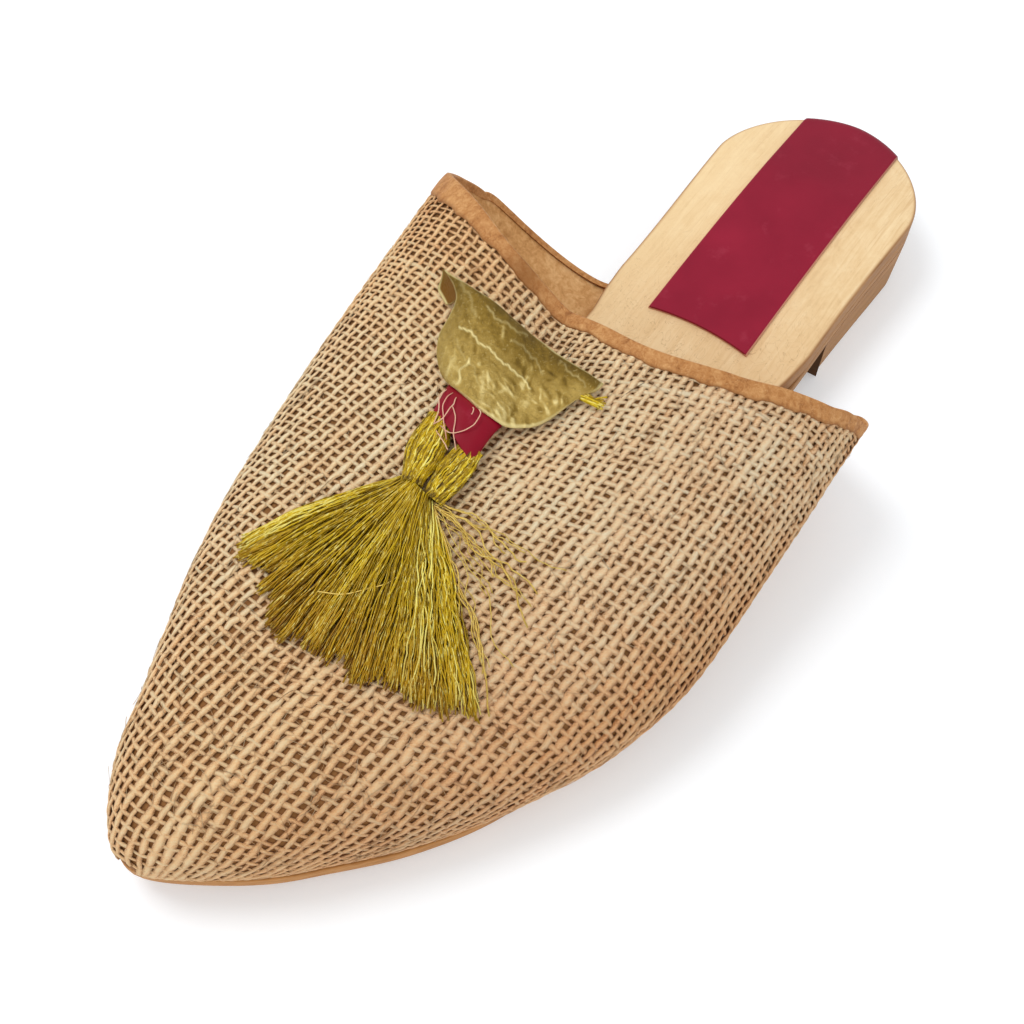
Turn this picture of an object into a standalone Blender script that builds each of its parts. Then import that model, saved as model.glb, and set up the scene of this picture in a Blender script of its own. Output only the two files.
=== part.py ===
"""A flat, pointed, backless mule for the left foot, in metres, with +Z up.

The toe points to -Y and the outer (lateral) side of the foot to +X. The origin is
the middle of the bounding box, on the floor. A station is a distance from the back
of the heel towards the toe, and every outline and section is worked out from it.
"""

import math

import bmesh
import bpy

MM = 0.001

# Driving dimensions, in millimetres.
LENGTH = 264.5             # back of the heel to the tip of the toe
HEEL_Y = 131.6             # where the back of the heel lies along Y
AXIS_X = 5.6               # where the heel's centre line lies along X
GAP = 0.3                  # clearance between pieces that touch on the real shoe

OUTSOLE = 3.0              # thickness of the outsole
FOOTBED = 4.2              # thickness of the wooden-faced footbed
SEAT_HEIGHT = 14.3         # underside of the outsole over the heel
SEAT_END = 28.0            # station where the seat stops being level
TREAD_START = 165.0        # the forefoot's flat spot, from here
TREAD_END = 200.0          # to here
TOE_SPRING = 8.0           # how far the toe lifts from the floor
HEEL_RADIUS = 28.2         # half width of the heel seat
HEEL_ROUND = 1.82          # how square the back of the heel is: 2 is a circle
TOE_START = 244.0          # station where the toe begins to close
SOLE_TIP = 263.6           # foremost point of the outsole
BREAST = 68.0              # front face of the heel block
HEEL_TAPER = 0.8           # how far the heel block draws in at the floor

WALL = 2.0                 # upper: jute cloth and its leather lining
ARCH_POWER = 2.3           # how square the upper's arch is: 2 is an ellipse
LOW_SHARE = 0.15           # share of a section that lies below its widest point
AROUND_LINES = 49          # points round a section, shared by the upper and its binding
THROAT_X = -12.0           # the throat's fold, from the heel's centre line
THROAT_DIP = 8.5           # how far the upper sinks at the throat
THROAT_WIDTH = 14.0
THROAT_POWER = 1.4         # how soft that fold is: 2 is a round hollow
THROAT_START = 128.0       # station behind which that fold is at its deepest
THROAT_END = 172.0         # station where it has run out

BINDING = 0.8              # thickness of the collar's folded leather
BINDING_REACH = 4.0        # how far it covers the upper from its edge

STRIP_FRONT = 87.5         # heel strip: where it starts
STRIP_BOW = 2.0            # how far its front edge bows back
STRIP_HALF = 13.8
STRIP_THICK = 0.9
STRIP_DROP = 6.0           # how far it folds down over the heel's back

LEAF_THICK = 0.9
LEAF_LIFT = 1.0            # the leaf's height over the jute
LEAF_CURL = 5.0            # how far its inner tip stands up

WRAP_START = 161.6         # leather sleeve under the leaf
WRAP_LENGTH = 5.8
WRAP_MIDDLE = -14.3
WRAP_HALF = 8.0            # half its width
WRAP_RISE = 3.0            # half its height
WRAP_WALL = 1.1
WRAP_SIDES = 20

HEADS_START = 168.0        # the tassel's two bound heads
HEADS_LENGTH = 10.0
HEADS_LEFT = -21.5         # their edges where they leave the sleeve
HEADS_RIGHT = -8.5
HEADS_THICK = 4.6
SKIRT_CENTRE = (-14.0, 176.0)   # x and station that its threads fan out from
SKIRT_LEFT = math.radians(-40.0)
SKIRT_RIGHT = math.radians(52.0)
SKIRT_REACH = 37.5         # length of the fan on its left side
SKIRT_LONGER = 7.0         # how much longer it is on its right side
SKIRT_THICK = 3.4
SKIRT_LOCKS = 11
THREAD_EDGE = 0.8          # thickness of the tassel at its edges

# The sole's plan: station, middle line and half width.
SOLE_PLAN = [
    {"station": 28.0, "middle": 0.0, "half": 28.2},
    {"station": 70.0, "middle": 0.0, "half": 27.0},
    {"station": 100.0, "middle": -1.0, "half": 27.5},
    {"station": 125.0, "middle": -3.4, "half": 34.5},
    {"station": 150.0, "middle": -5.3, "half": 41.8},
    {"station": 172.0, "middle": -6.5, "half": 45.0},
    {"station": 190.0, "middle": -7.9, "half": 43.8},
    {"station": 210.0, "middle": -9.9, "half": 39.4},
    {"station": 228.0, "middle": -12.5, "half": 31.2},
    {"station": 244.0, "middle": -16.0, "half": 21.6},
    {"station": 264.0, "middle": -20.8, "half": 10.4},
]

# The upper's sections: its middle line and widest half width, how high that lies,
# the crest's height and how far it leans inwards, and how round the lower part is.
UPPER_SECTIONS = [
    {"station": 80, "middle": -5.0, "half": 54.3, "widest": 36, "crest": 68, "lean": -9, "round": 1.35},
    {"station": 110, "middle": -5.0, "half": 55.4, "widest": 35, "crest": 66.7, "lean": -9, "round": 1.35},
    {"station": 130, "middle": -5.1, "half": 55.2, "widest": 30, "crest": 60.5, "lean": -9, "round": 1.5},
    {"station": 150, "middle": -5.3, "half": 54.8, "widest": 25, "crest": 53, "lean": -8.5, "round": 1.7},
    {"station": 170, "middle": -5.1, "half": 53.8, "widest": 21, "crest": 46, "lean": -7.5, "round": 1.9},
    {"station": 190, "middle": -6.3, "half": 50.5, "widest": 17.7, "crest": 40.3, "lean": -5.5, "round": 2},
    {"station": 210, "middle": -8.9, "half": 42.9, "widest": 16.1, "crest": 36.6, "lean": -3, "round": 2},
    {"station": 228, "middle": -11.5, "half": 33.5, "widest": 14.8, "crest": 33.7, "lean": -1, "round": 2},
    {"station": 244, "middle": -14.9, "half": 23.4, "widest": 14, "crest": 31, "lean": 0, "round": 2},
    {"station": 264, "middle": -20.3, "half": 12.2, "widest": 13.6, "crest": 28, "lean": 0, "round": 2},
]

# The collar's edge, from the outer side (0) over the throat to the inner side (1).
COLLAR = [
    {"around": 0.00, "station": 86.0},
    {"around": 0.10, "station": 97.0},
    {"around": 0.16, "station": 106.0},
    {"around": 0.25, "station": 116.5},
    {"around": 0.34, "station": 126.5},
    {"around": 0.43, "station": 132.0},
    {"around": 0.49, "station": 129.5},
    {"around": 0.55, "station": 126.5},
    {"around": 0.61, "station": 121.0},
    {"around": 0.73, "station": 110.0},
    {"around": 0.80, "station": 101.5},
    {"around": 0.88, "station": 91.5},
    {"around": 1.00, "station": 83.5},
]

# How far the footbed draws in from the sole's edge, to clear the upper and binding.
FOOTBED_INSET = [
    {"station": 80.0, "inset": 0.0},
    {"station": 82.2, "inset": 3.7},
    {"station": 93.0, "inset": 3.7},
    {"station": 97.0, "inset": 2.4},
    {"station": 264.0, "inset": 2.4},
]

# The leaf's two edges in plan, from its curled inner tip to its outer corner:
# the share of its length, x, and the stations of the upper and the lower edge.
LEAF_PLAN = [
    {"along": 0.00, "x": -37.0, "high": 140.5, "low": 142.5},
    {"along": 0.15, "x": -31.5, "high": 139.0, "low": 147.5},
    {"along": 0.30, "x": -26.0, "high": 138.5, "low": 156.5},
    {"along": 0.50, "x": -17.0, "high": 138.8, "low": 160.8},
    {"along": 0.70, "x": -8.0, "high": 140.0, "low": 160.4},
    {"along": 0.88, "x": 0.5, "high": 141.4, "low": 155.0},
    {"along": 1.00, "x": 6.5, "high": 144.0, "low": 146.5},
]


def between(rows, key, column, value):
    """Reads a column of a table at a value of its first column, on a smooth curve."""
    last = len(rows) - 1
    if value <= rows[0][key]:
        return rows[0][column]
    if value >= rows[last][key]:
        return rows[last][column]
    i = 0
    while rows[i + 1][key] < value:
        i += 1

    def rise(k):
        run = rows[k + 1][key] - rows[k][key]
        return (rows[k + 1][column] - rows[k][column]) / run

    def slope(k):
        if k == 0:
            return rise(0)
        if k == last:
            return rise(last - 1)
        before, after = rise(k - 1), rise(k)
        if before * after <= 0.0:
            return 0.0
        return 2.0 * before * after / (before + after)

    run = rows[i + 1][key] - rows[i][key]
    t = (value - rows[i][key]) / run
    low, high = rows[i][column], rows[i + 1][column]
    return (
        low * (2 * t**3 - 3 * t**2 + 1)
        + slope(i) * run * (t**3 - 2 * t**2 + t)
        + high * (3 * t**2 - 2 * t**3)
        + slope(i + 1) * run * (t**3 - t**2)
    )


def ease(value):
    """0 to 1, level at both ends."""
    t = min(max(value, 0.0), 1.0)
    return t * t * (3.0 - 2.0 * t)


def spread(first, last, count):
    """Evenly spaced numbers, both ends included."""
    return [first + (last - first) * i / (count - 1) for i in range(count)]


def place(x, station, z):
    """A point of the shoe, in metres, from the heel's centre line and a station."""
    return ((AXIS_X + x) * MM, (HEEL_Y - station) * MM, z * MM)


# ---- the sole's plan and profile


def sole_bottom(station):
    """Height of the outsole's underside: level seat, waist, flat tread, toe spring."""
    if station <= SEAT_END:
        return SEAT_HEIGHT
    if station < TREAD_START:
        t = (station - SEAT_END) / (TREAD_START - SEAT_END)
        return SEAT_HEIGHT * (1.0 - t) ** 1.5 * (1.0 + 1.2 * t)
    if station <= TREAD_END:
        return 0.0
    t = (station - TREAD_END) / (LENGTH - TREAD_END)
    return TOE_SPRING * t * t


def sole_half(station):
    """Half width of the sole: round at the heel, from the plan, closed at the toe."""
    if station < HEEL_RADIUS:
        share = max(1.0 - station / HEEL_RADIUS, 0.0)
        return HEEL_RADIUS * (1.0 - share**HEEL_ROUND) ** (1.0 / HEEL_ROUND)
    if station <= TOE_START:
        return between(SOLE_PLAN, "station", "half", station)
    t = min((station - TOE_START) / (SOLE_TIP - TOE_START), 1.0)
    return between(SOLE_PLAN, "station", "half", station) * math.sqrt(1.0 - t**2.1)


def sole_middle(station):
    return between(SOLE_PLAN, "station", "middle", station)


def footbed_top(station):
    return sole_bottom(station) + OUTSOLE + GAP + FOOTBED


def plan_stations(first, last, count):
    """Stations that lie closer together near the round heel and the toe."""
    stations = []
    for t in spread(0.0, 1.0, count):
        eased = 0.5 - 0.5 * math.cos(math.pi * t)
        stations.append(first + (last - first) * (0.35 * t + 0.65 * eased))
    return stations


# ---- the upper's surface


def upper_point(around, station, inset=0.0):
    """A point on the upper: around is 0 at the outer feather edge, 1 at the inner.

    inset moves the whole surface inwards, so the wall's two faces share one shape.
    """
    tip = LENGTH - inset
    closing = min(max((station - TOE_START) / (tip - TOE_START), 0.0), 1.0)
    shut = math.sqrt(max(1.0 - closing**2.1, 0.0))
    middle = between(UPPER_SECTIONS, "station", "middle", station)
    half = (between(UPPER_SECTIONS, "station", "half", station) - inset) * shut
    foot = (between(SOLE_PLAN, "station", "half", station) - inset) * shut
    foot_middle = sole_middle(station)
    low = sole_bottom(station) + OUTSOLE + GAP
    widest = between(UPPER_SECTIONS, "station", "widest", station)
    crest = between(UPPER_SECTIONS, "station", "crest", station) - inset
    toe_height = low + 2.0
    crest = toe_height + (crest - toe_height) * shut
    widest = toe_height + (widest - toe_height) * shut
    power = between(UPPER_SECTIONS, "station", "round", station)
    side = 1.0 if around < 0.5 else -1.0
    edge = around if around < 0.5 else 1.0 - around
    if edge < LOW_SHARE:
        turn = 0.5 * math.pi * edge / LOW_SHARE
        out = math.sin(turn) ** (2.0 / power)
        rise = 1.0 - max(math.cos(turn), 0.0) ** (2.0 / power)
        start = foot_middle + side * foot
        x = start + (middle + side * half - start) * out
        return x, station, low + (widest - low) * rise
    turn = math.pi * (around - LOW_SHARE) / (1.0 - 2.0 * LOW_SHARE)
    across = abs(math.cos(turn)) ** (2.0 / ARCH_POWER) * math.copysign(1.0, math.cos(turn))
    up = max(math.sin(turn), 0.0) ** (2.0 / ARCH_POWER)
    lean = between(UPPER_SECTIONS, "station", "lean", station) * shut
    x = middle + half * across + lean * up
    fade = ease((THROAT_END - station) / (THROAT_END - THROAT_START))
    dip = THROAT_DIP * fade * math.exp(-((abs(x - THROAT_X) / THROAT_WIDTH) ** THROAT_POWER))
    return x, station, widest + (crest - widest) * up - dip * up


def collar_station(around):
    return between(COLLAR, "around", "station", around)


def cross(a, b):
    return (a[1] * b[2] - a[2] * b[1], a[2] * b[0] - a[0] * b[2], a[0] * b[1] - a[1] * b[0])


def upper_normal(around, station, inset=0.0):
    """The outward direction of the upper's surface, in (x, station, z)."""
    step = 0.004
    first, second = max(around - step, 0.0), min(around + step, 1.0)
    a = upper_point(first, station, inset)
    b = upper_point(second, station, inset)
    c = upper_point(around, station - 0.4, inset)
    d = upper_point(around, station + 0.4, inset)
    n = cross([q - p for p, q in zip(c, d)], [q - p for p, q in zip(a, b)])
    size = math.sqrt(sum(v * v for v in n)) or 1.0
    return [v / size for v in n]


def over_upper(around, station, lift, inset=0.0):
    """A point that stands off the upper's surface by lift."""
    point = upper_point(around, station, inset)
    normal = upper_normal(around, station, inset)
    return tuple(p + lift * n for p, n in zip(point, normal))


def around_at(x, station):
    """Where on the arch the surface passes over x."""
    low, high = LOW_SHARE, 1.0 - LOW_SHARE
    for _ in range(30):
        middle = 0.5 * (low + high)
        if upper_point(middle, station)[0] > x:
            low = middle
        else:
            high = middle
    return 0.5 * (low + high)


def over_plan(x, station, lift):
    """The point above x and a station that stands off the upper by lift."""
    return over_upper(around_at(x, station), station, lift)


# ---- making objects


def material(name, colour, roughness, metallic=0.0):
    mat = bpy.data.materials.new(name)
    mat.use_nodes = True
    shader = mat.node_tree.nodes["Principled BSDF"]
    shader.inputs["Base Color"].default_value = (*colour, 1.0)
    shader.inputs["Roughness"].default_value = roughness
    shader.inputs["Metallic"].default_value = metallic
    return mat


def add_object(name, points, faces, mat, parent, smooth=40.0):
    """One closed body from points in (x, station, z) and faces of their numbers."""
    mesh = bpy.data.meshes.new(name)
    mesh.from_pydata([place(*p) for p in points], [], faces)
    work = bmesh.new()
    work.from_mesh(mesh)
    bmesh.ops.remove_doubles(work, verts=work.verts, dist=1e-6)
    bmesh.ops.dissolve_degenerate(work, edges=work.edges, dist=1e-6)
    bmesh.ops.triangulate(work, faces=work.faces)
    bmesh.ops.recalc_face_normals(work, faces=work.faces)
    if work.calc_volume(signed=True) < 0.0:
        bmesh.ops.reverse_faces(work, faces=work.faces)
    work.to_mesh(mesh)
    work.free()
    mesh.shade_smooth()
    mesh.set_sharp_from_angle(angle=math.radians(smooth))
    mesh.materials.append(mat)
    obj = bpy.data.objects.new(name, mesh)
    bpy.context.scene.collection.objects.link(obj)
    obj.parent = parent
    return obj


def loft(rings):
    """Points and faces of a body lofted through closed rings, with flat ends."""
    count = len(rings[0])
    points = [p for ring in rings for p in ring]
    faces = []
    for i in range(len(rings) - 1):
        for j in range(count):
            a, b = i * count + j, i * count + (j + 1) % count
            faces.append((a, b, b + count, a + count))
    faces.append(tuple(range(count)))
    faces.append(tuple(range(len(points) - count, len(points))))
    return points, faces


def sheet(top, bottom):
    """Points and faces of a thin body between two grids of the same size."""
    rows, columns = len(top), len(top[0])
    points = [p for row in top for p in row] + [p for row in bottom for p in row]
    under = rows * columns
    faces = []
    for i in range(rows - 1):
        for j in range(columns - 1):
            a = i * columns + j
            faces.append((a, a + 1, a + columns + 1, a + columns))
            faces.append((under + a, under + a + columns, under + a + columns + 1, under + a + 1))
    border = [j for j in range(columns)]
    border += [i * columns + columns - 1 for i in range(1, rows)]
    border += [(rows - 1) * columns + j for j in range(columns - 2, -1, -1)]
    border += [i * columns for i in range(rows - 2, 0, -1)]
    for k, a in enumerate(border):
        b = border[(k + 1) % len(border)]
        faces.append((a, under + a, under + b, b))
    return points, faces


# ---- the pieces


def sole_ring(station, inset, low, high, chamfer):
    """A section across the sole, with its upper corners taken off."""
    half = max(sole_half(station) - inset, 0.4)
    cut = min(chamfer, 0.6 * half)
    middle = sole_middle(station)
    corners = [(-half, low), (half, low), (half, high - chamfer), (half - cut, high)]
    corners += [(-half + cut, high), (-half, high - chamfer)]
    return [(middle + x, station, z) for x, z in corners]


def make_outsole(mat, parent):
    stations = plan_stations(0.15, SOLE_TIP - 0.1, 46)
    rings = []
    for s in stations:
        low = sole_bottom(s)
        rings.append(sole_ring(s, 0.0, low, low + OUTSOLE, 0.4))
    return add_object("outsole", *loft(rings), mat, parent)


def make_footbed(mat, parent):
    stations = plan_stations(0.15, 80.0, 18)
    stations += [82.2, 87.0, 93.0, 97.0]
    stations += plan_stations(103.0, SOLE_TIP - 3.2, 20)
    rings = []
    for s in stations:
        inset = between(FOOTBED_INSET, "station", "inset", s)
        low = sole_bottom(s) + OUTSOLE + GAP
        rings.append(sole_ring(s, inset, low, low + FOOTBED, 0.6))
    return add_object("footbed", *loft(rings), mat, parent)


def make_heel_block(mat, parent):
    """The stacked heel: its top lies along the outsole and its floor face is flat."""
    rings = []
    for s in plan_stations(0.15, BREAST, 22):
        half = max(sole_half(s), 0.4)
        floor_half = max(half - HEEL_TAPER, 0.3)
        middle = sole_middle(s)
        high = sole_bottom(s) - GAP
        back = HEEL_TAPER * max(1.0 - s / HEEL_RADIUS, 0.0)
        corners = [(-floor_half, 0.0, s + back), (floor_half, 0.0, s + back)]
        corners += [(half, high, s), (-half, high, s)]
        rings.append([(middle + x, station, z) for x, z, station in corners])
    return add_object("heel_block", *loft(rings), mat, parent)


def make_upper(mat, parent):
    """One hollow wall, open at the collar and underneath."""
    lines = spread(0.0, 1.0, AROUND_LINES)
    depths = [1.0 - (1.0 - t) ** 1.35 for t in spread(0.0, 1.0, 28)]

    def face(inset):
        grid = []
        for t in depths[:-1]:
            row = []
            for u in lines:
                start = collar_station(u)
                row.append(upper_point(u, start + (LENGTH - inset - start) * t, inset))
            grid.append(row)
        tip = upper_point(0.0, LENGTH - inset, inset)
        grid.append([(tip[0], tip[1], tip[2] + 0.4)] * len(lines))
        return grid

    return add_object("upper", *sheet(face(0.0), face(WALL)), mat, parent, smooth=60.0)


def make_binding(mat, parent):
    """Leather folded over the collar's edge: a channel swept along it."""
    rings = []
    lines = spread(0.0, 1.0, AROUND_LINES)
    for u in lines[1:-1]:
        # The edge turns sharply at its two lower ends, so the fold is looser there.
        clear = GAP + 0.15 + 0.5 * ease(1.0 - min(u, 1.0 - u) / 0.06)
        skin = clear + BINDING
        edge = collar_station(u)
        front = edge + BINDING_REACH
        ring = [over_upper(u, front, clear), over_upper(u, front, skin)]
        ring += [over_upper(u, edge, skin), over_upper(u, edge - skin, 0.1 * WALL)]
        ring += [over_upper(u, edge - skin, -0.1 * WALL, WALL), over_upper(u, edge, -skin, WALL)]
        ring += [over_upper(u, front, -skin, WALL), over_upper(u, front, -clear, WALL)]
        ring += [over_upper(u, edge - clear, -clear, WALL), over_upper(u, edge - clear, clear)]
        rings.append(ring)
    return add_object("collar_binding", *loft(rings), mat, parent)


def heel_edge(x):
    """The station of the heel's back edge at x."""
    share = (1.0 - (abs(x) / HEEL_RADIUS) ** HEEL_ROUND) ** (1.0 / HEEL_ROUND)
    return HEEL_RADIUS * (1.0 - share)


def make_heel_strip(mat, parent):
    """The leather strip on the seat, folded down over the heel's back."""
    columns = spread(-STRIP_HALF, STRIP_HALF, 13)

    def face(lift):
        grid = []
        for t in spread(0.0, 1.0, 9):
            row = []
            for x in columns:
                bow = STRIP_BOW * (1.0 - (x / STRIP_HALF) ** 2)
                s = STRIP_FRONT - bow + (heel_edge(x) - lift - STRIP_FRONT + bow) * t
                row.append((x, s, footbed_top(s) + lift))
            grid.append(row)
        top = footbed_top(0.0)
        for drop in (0.5 * STRIP_DROP, STRIP_DROP):
            grid.append([(x, heel_edge(x) - lift, top - drop) for x in columns])
        return grid

    return add_object("heel_strip", *sheet(face(GAP + STRIP_THICK), face(GAP)), mat, parent)


def make_leaf(mat, parent):
    """The metal leaf under the throat, with one tip curled up."""

    def face(thick):
        grid = []
        for along in spread(0.0, 1.0, 17):
            x = between(LEAF_PLAN, "along", "x", along)
            high = between(LEAF_PLAN, "along", "high", along)
            low = between(LEAF_PLAN, "along", "low", along)
            curl = LEAF_CURL * ease(1.0 - along / 0.3)
            row = []
            for t in spread(0.0, 1.0, 9):
                fold = 1.2 * math.sin(math.pi * t)
                lift = LEAF_LIFT + curl * (0.4 + 0.6 * t) + fold + thick
                row.append(over_plan(x, high + (low - high) * t, lift))
            grid.append(row)
        return grid

    return add_object("leaf", *sheet(face(LEAF_THICK), face(0.0)), mat, parent)


def make_wrap(mat, parent):
    """A short leather sleeve, open at both ends, that holds the tassel's heads."""
    outer_rings, inner_rings = [], []
    for s in spread(WRAP_START, WRAP_START + WRAP_LENGTH, 4):
        outer, inner = [], []
        for k in range(WRAP_SIDES):
            turn = 2.0 * math.pi * k / WRAP_SIDES
            wide, tall = math.cos(turn), math.sin(turn)
            middle = 2.0 * GAP + WRAP_RISE
            x = WRAP_MIDDLE + WRAP_HALF * wide
            outer.append(over_plan(x, s, middle + WRAP_RISE * tall))
            x = WRAP_MIDDLE + (WRAP_HALF - WRAP_WALL) * wide
            inner.append(over_plan(x, s, middle + (WRAP_RISE - WRAP_WALL) * tall))
        outer_rings.append(outer)
        inner_rings.append(inner)
    rings = outer_rings + inner_rings[::-1]
    points = [p for ring in rings for p in ring]
    faces = []
    for i in range(len(rings)):
        first, second = i * WRAP_SIDES, (i + 1) % len(rings) * WRAP_SIDES
        for j in range(WRAP_SIDES):
            k = (j + 1) % WRAP_SIDES
            faces.append((first + j, first + k, second + k, second + j))
    return add_object("wrap_band", points, faces, mat, parent)


def tassel_heads(share, across):
    """x, station and thickness of the two bound heads, above the skirt."""
    left = HEADS_LEFT + 3.2 * share
    right = HEADS_RIGHT + 0.5 * share
    swell = math.sin(math.pi * min(share * 1.15, 1.0)) * 1.1
    x = left - swell + (right - left + 2.0 * swell) * across
    s = HEADS_START + HEADS_LENGTH * share + 2.0 * across * share
    lobe = abs(math.sin(2.0 * math.pi * across)) ** 0.7
    return x, s, THREAD_EDGE + (HEADS_THICK - 1.4 * share) * lobe


def tassel_skirt(share, across):
    """x, station and thickness of the fan of threads, which hangs in locks."""
    turn = SKIRT_LEFT + (SKIRT_RIGHT - SKIRT_LEFT) * across
    lock = abs(math.sin(math.pi * SKIRT_LOCKS * across))
    reach = SKIRT_REACH + SKIRT_LONGER * across + 1.6 * lock
    root_x = HEADS_LEFT + 3.2 + (HEADS_RIGHT - HEADS_LEFT - 2.4) * across
    root_s = HEADS_START + HEADS_LENGTH + 2.0 * across
    end_x = SKIRT_CENTRE[0] + reach * math.sin(turn)
    end_s = SKIRT_CENTRE[1] + reach * math.cos(turn)
    x = root_x + (end_x - root_x) * share**0.8
    s = root_s + (end_s - root_s) * share
    edge = math.sin(math.pi * across) ** 0.4
    body = (SKIRT_THICK - 1.6 * share) * edge
    return x, s, THREAD_EDGE + body + 0.9 * lock * ease(share * 3.0)


def make_tassel(mat, parent):
    """Two bound heads and a fan of locks, in one body that lies on the vamp."""
    columns = spread(0.0, 1.0, 4 * SKIRT_LOCKS + 1)
    rows = [(tassel_heads, share) for share in spread(0.0, 0.8, 5)]
    rows += [(tassel_skirt, share) for share in spread(0.0, 1.0, 9)]
    top, bottom = [], []
    for shape, share in rows:
        row_top, row_bottom = [], []
        for across in columns:
            x, s, thick = shape(share, across)
            row_bottom.append(over_plan(x, s, 2.0 * GAP))
            row_top.append(over_plan(x, s, 2.0 * GAP + thick))
        top.append(row_top)
        bottom.append(row_bottom)
    return add_object("tassel", *sheet(top, bottom), mat, parent, smooth=60.0)


def main():
    for obj in list(bpy.data.objects):
        bpy.data.objects.remove(obj)
    shoe = bpy.data.objects.new("mule", None)
    bpy.context.scene.collection.objects.link(shoe)

    leather = material("tan_leather", (0.55, 0.30, 0.14), 0.55)
    stack = material("stacked_leather", (0.28, 0.17, 0.10), 0.60)
    maple = material("pale_wood", (0.78, 0.62, 0.38), 0.45)
    jute = material("jute", (0.55, 0.38, 0.22), 0.90)
    crimson = material("crimson_leather", (0.33, 0.02, 0.04), 0.35)
    gold = material("hammered_gold", (0.45, 0.36, 0.12), 0.35, 1.0)
    thread = material("gold_thread", (0.55, 0.45, 0.04), 0.40, 0.4)

    make_outsole(leather, shoe)
    make_footbed(maple, shoe)
    make_heel_block(stack, shoe)
    make_upper(jute, shoe)
    make_binding(leather, shoe)
    make_heel_strip(crimson, shoe)
    make_leaf(gold, shoe)
    make_wrap(crimson, shoe)
    make_tassel(thread, shoe)


main()
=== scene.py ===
import math

import bpy
import numpy as np
from mathutils import Matrix, Vector

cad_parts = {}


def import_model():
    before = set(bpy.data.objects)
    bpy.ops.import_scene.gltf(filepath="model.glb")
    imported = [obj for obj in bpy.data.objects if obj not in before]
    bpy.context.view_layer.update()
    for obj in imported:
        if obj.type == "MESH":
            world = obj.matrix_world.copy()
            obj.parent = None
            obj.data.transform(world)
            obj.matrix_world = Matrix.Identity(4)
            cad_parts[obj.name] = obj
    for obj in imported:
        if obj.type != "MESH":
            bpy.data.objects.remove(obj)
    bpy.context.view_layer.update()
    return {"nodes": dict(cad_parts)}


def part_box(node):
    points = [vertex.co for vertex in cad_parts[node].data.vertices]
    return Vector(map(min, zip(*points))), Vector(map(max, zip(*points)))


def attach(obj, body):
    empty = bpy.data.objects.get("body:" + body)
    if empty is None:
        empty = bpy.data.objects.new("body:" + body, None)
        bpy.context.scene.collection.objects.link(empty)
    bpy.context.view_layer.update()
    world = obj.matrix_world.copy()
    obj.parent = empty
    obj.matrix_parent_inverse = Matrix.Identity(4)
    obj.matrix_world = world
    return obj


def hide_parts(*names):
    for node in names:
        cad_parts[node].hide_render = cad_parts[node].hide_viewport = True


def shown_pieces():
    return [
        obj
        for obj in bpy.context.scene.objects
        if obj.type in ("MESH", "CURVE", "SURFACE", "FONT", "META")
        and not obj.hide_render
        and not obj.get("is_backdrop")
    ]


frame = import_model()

dice = np.random.default_rng(11)
print("frame loaded:", len(frame["nodes"]), "nodes")

# measures of the shoe, in millimetres: x runs outwards from the heel's centre
# line, a station runs from the back of the heel to the toe

heelLow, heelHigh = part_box("heel_block")
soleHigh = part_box("outsole")[1]

shoe = {
    "axisX": 500.0 * (heelLow.x + heelHigh.x),
    "heelY": 1000.0 * soleHigh.y + 0.15,
    "length": 264.5,
    "outsole": 3.0,
    "footbed": 4.2,
    "gap": 0.3,
    "seatHeight": 14.3,
    "seatEnd": 28.0,
    "treadStart": 165.0,
    "treadEnd": 200.0,
    "toeSpring": 8.0,
    "heelRadius": 28.2,
    "heelRound": 1.82,
    "toeStart": 244.0,
    "soleTip": 263.6,
    "breast": 68.0,
    "heelTaper": 0.8,
    "wall": 2.0,
    "edgeThin": 0.8,            # how much thinner the wall is at the collar
    "archPower": 2.3,
    "lowShare": 0.15,
    "throatX": -12.0,
    "throatDip": 8.5,
    "throatWidth": 14.0,
    "throatPower": 1.4,
    "throatStart": 128.0,
    "throatEnd": 172.0,
}

# station, middle line, half width
solePlan = [
    (28, 0, 28.2), (70, 0, 27), (100, -1, 27.5), (125, -3.4, 34.5), (150, -5.3, 41.8),
    (172, -6.5, 45), (190, -7.9, 43.8), (210, -9.9, 39.4), (228, -12.5, 31.2),
    (244, -16, 21.6), (264, -20.8, 10.4),
]

# station, middle line, half width, height of the widest point, crest, lean, roundness
upperSections = [
    (80, -5, 54.3, 36, 68, -9, 1.35), (110, -5, 55.4, 35, 66.7, -9, 1.35),
    (130, -5.1, 55.2, 30, 60.5, -9, 1.5), (150, -5.3, 54.8, 25, 53, -8.5, 1.7),
    (170, -5.1, 53.8, 21, 46, -7.5, 1.9), (190, -6.3, 50.5, 17.7, 40.3, -5.5, 2),
    (210, -8.9, 42.9, 16.1, 36.6, -3, 2), (228, -11.5, 33.5, 14.8, 33.7, -1, 2),
    (244, -14.9, 23.4, 14, 31, 0, 2), (264, -20.3, 12.2, 13.6, 28, 0, 2),
]

# the collar: share round the opening from the outer side, station
collarLine = [
    (0, 86), (0.06, 93), (0.11, 99.4), (0.15, 106), (0.18, 109.5), (0.2, 111.7),
    (0.225, 115), (0.25, 117.5), (0.29, 121.4), (0.34, 126.5), (0.43, 132), (0.49, 129.5),
    (0.55, 126.5), (0.61, 121), (0.73, 110), (0.80, 101.5), (0.88, 91.5), (1, 83.5),
]


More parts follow.
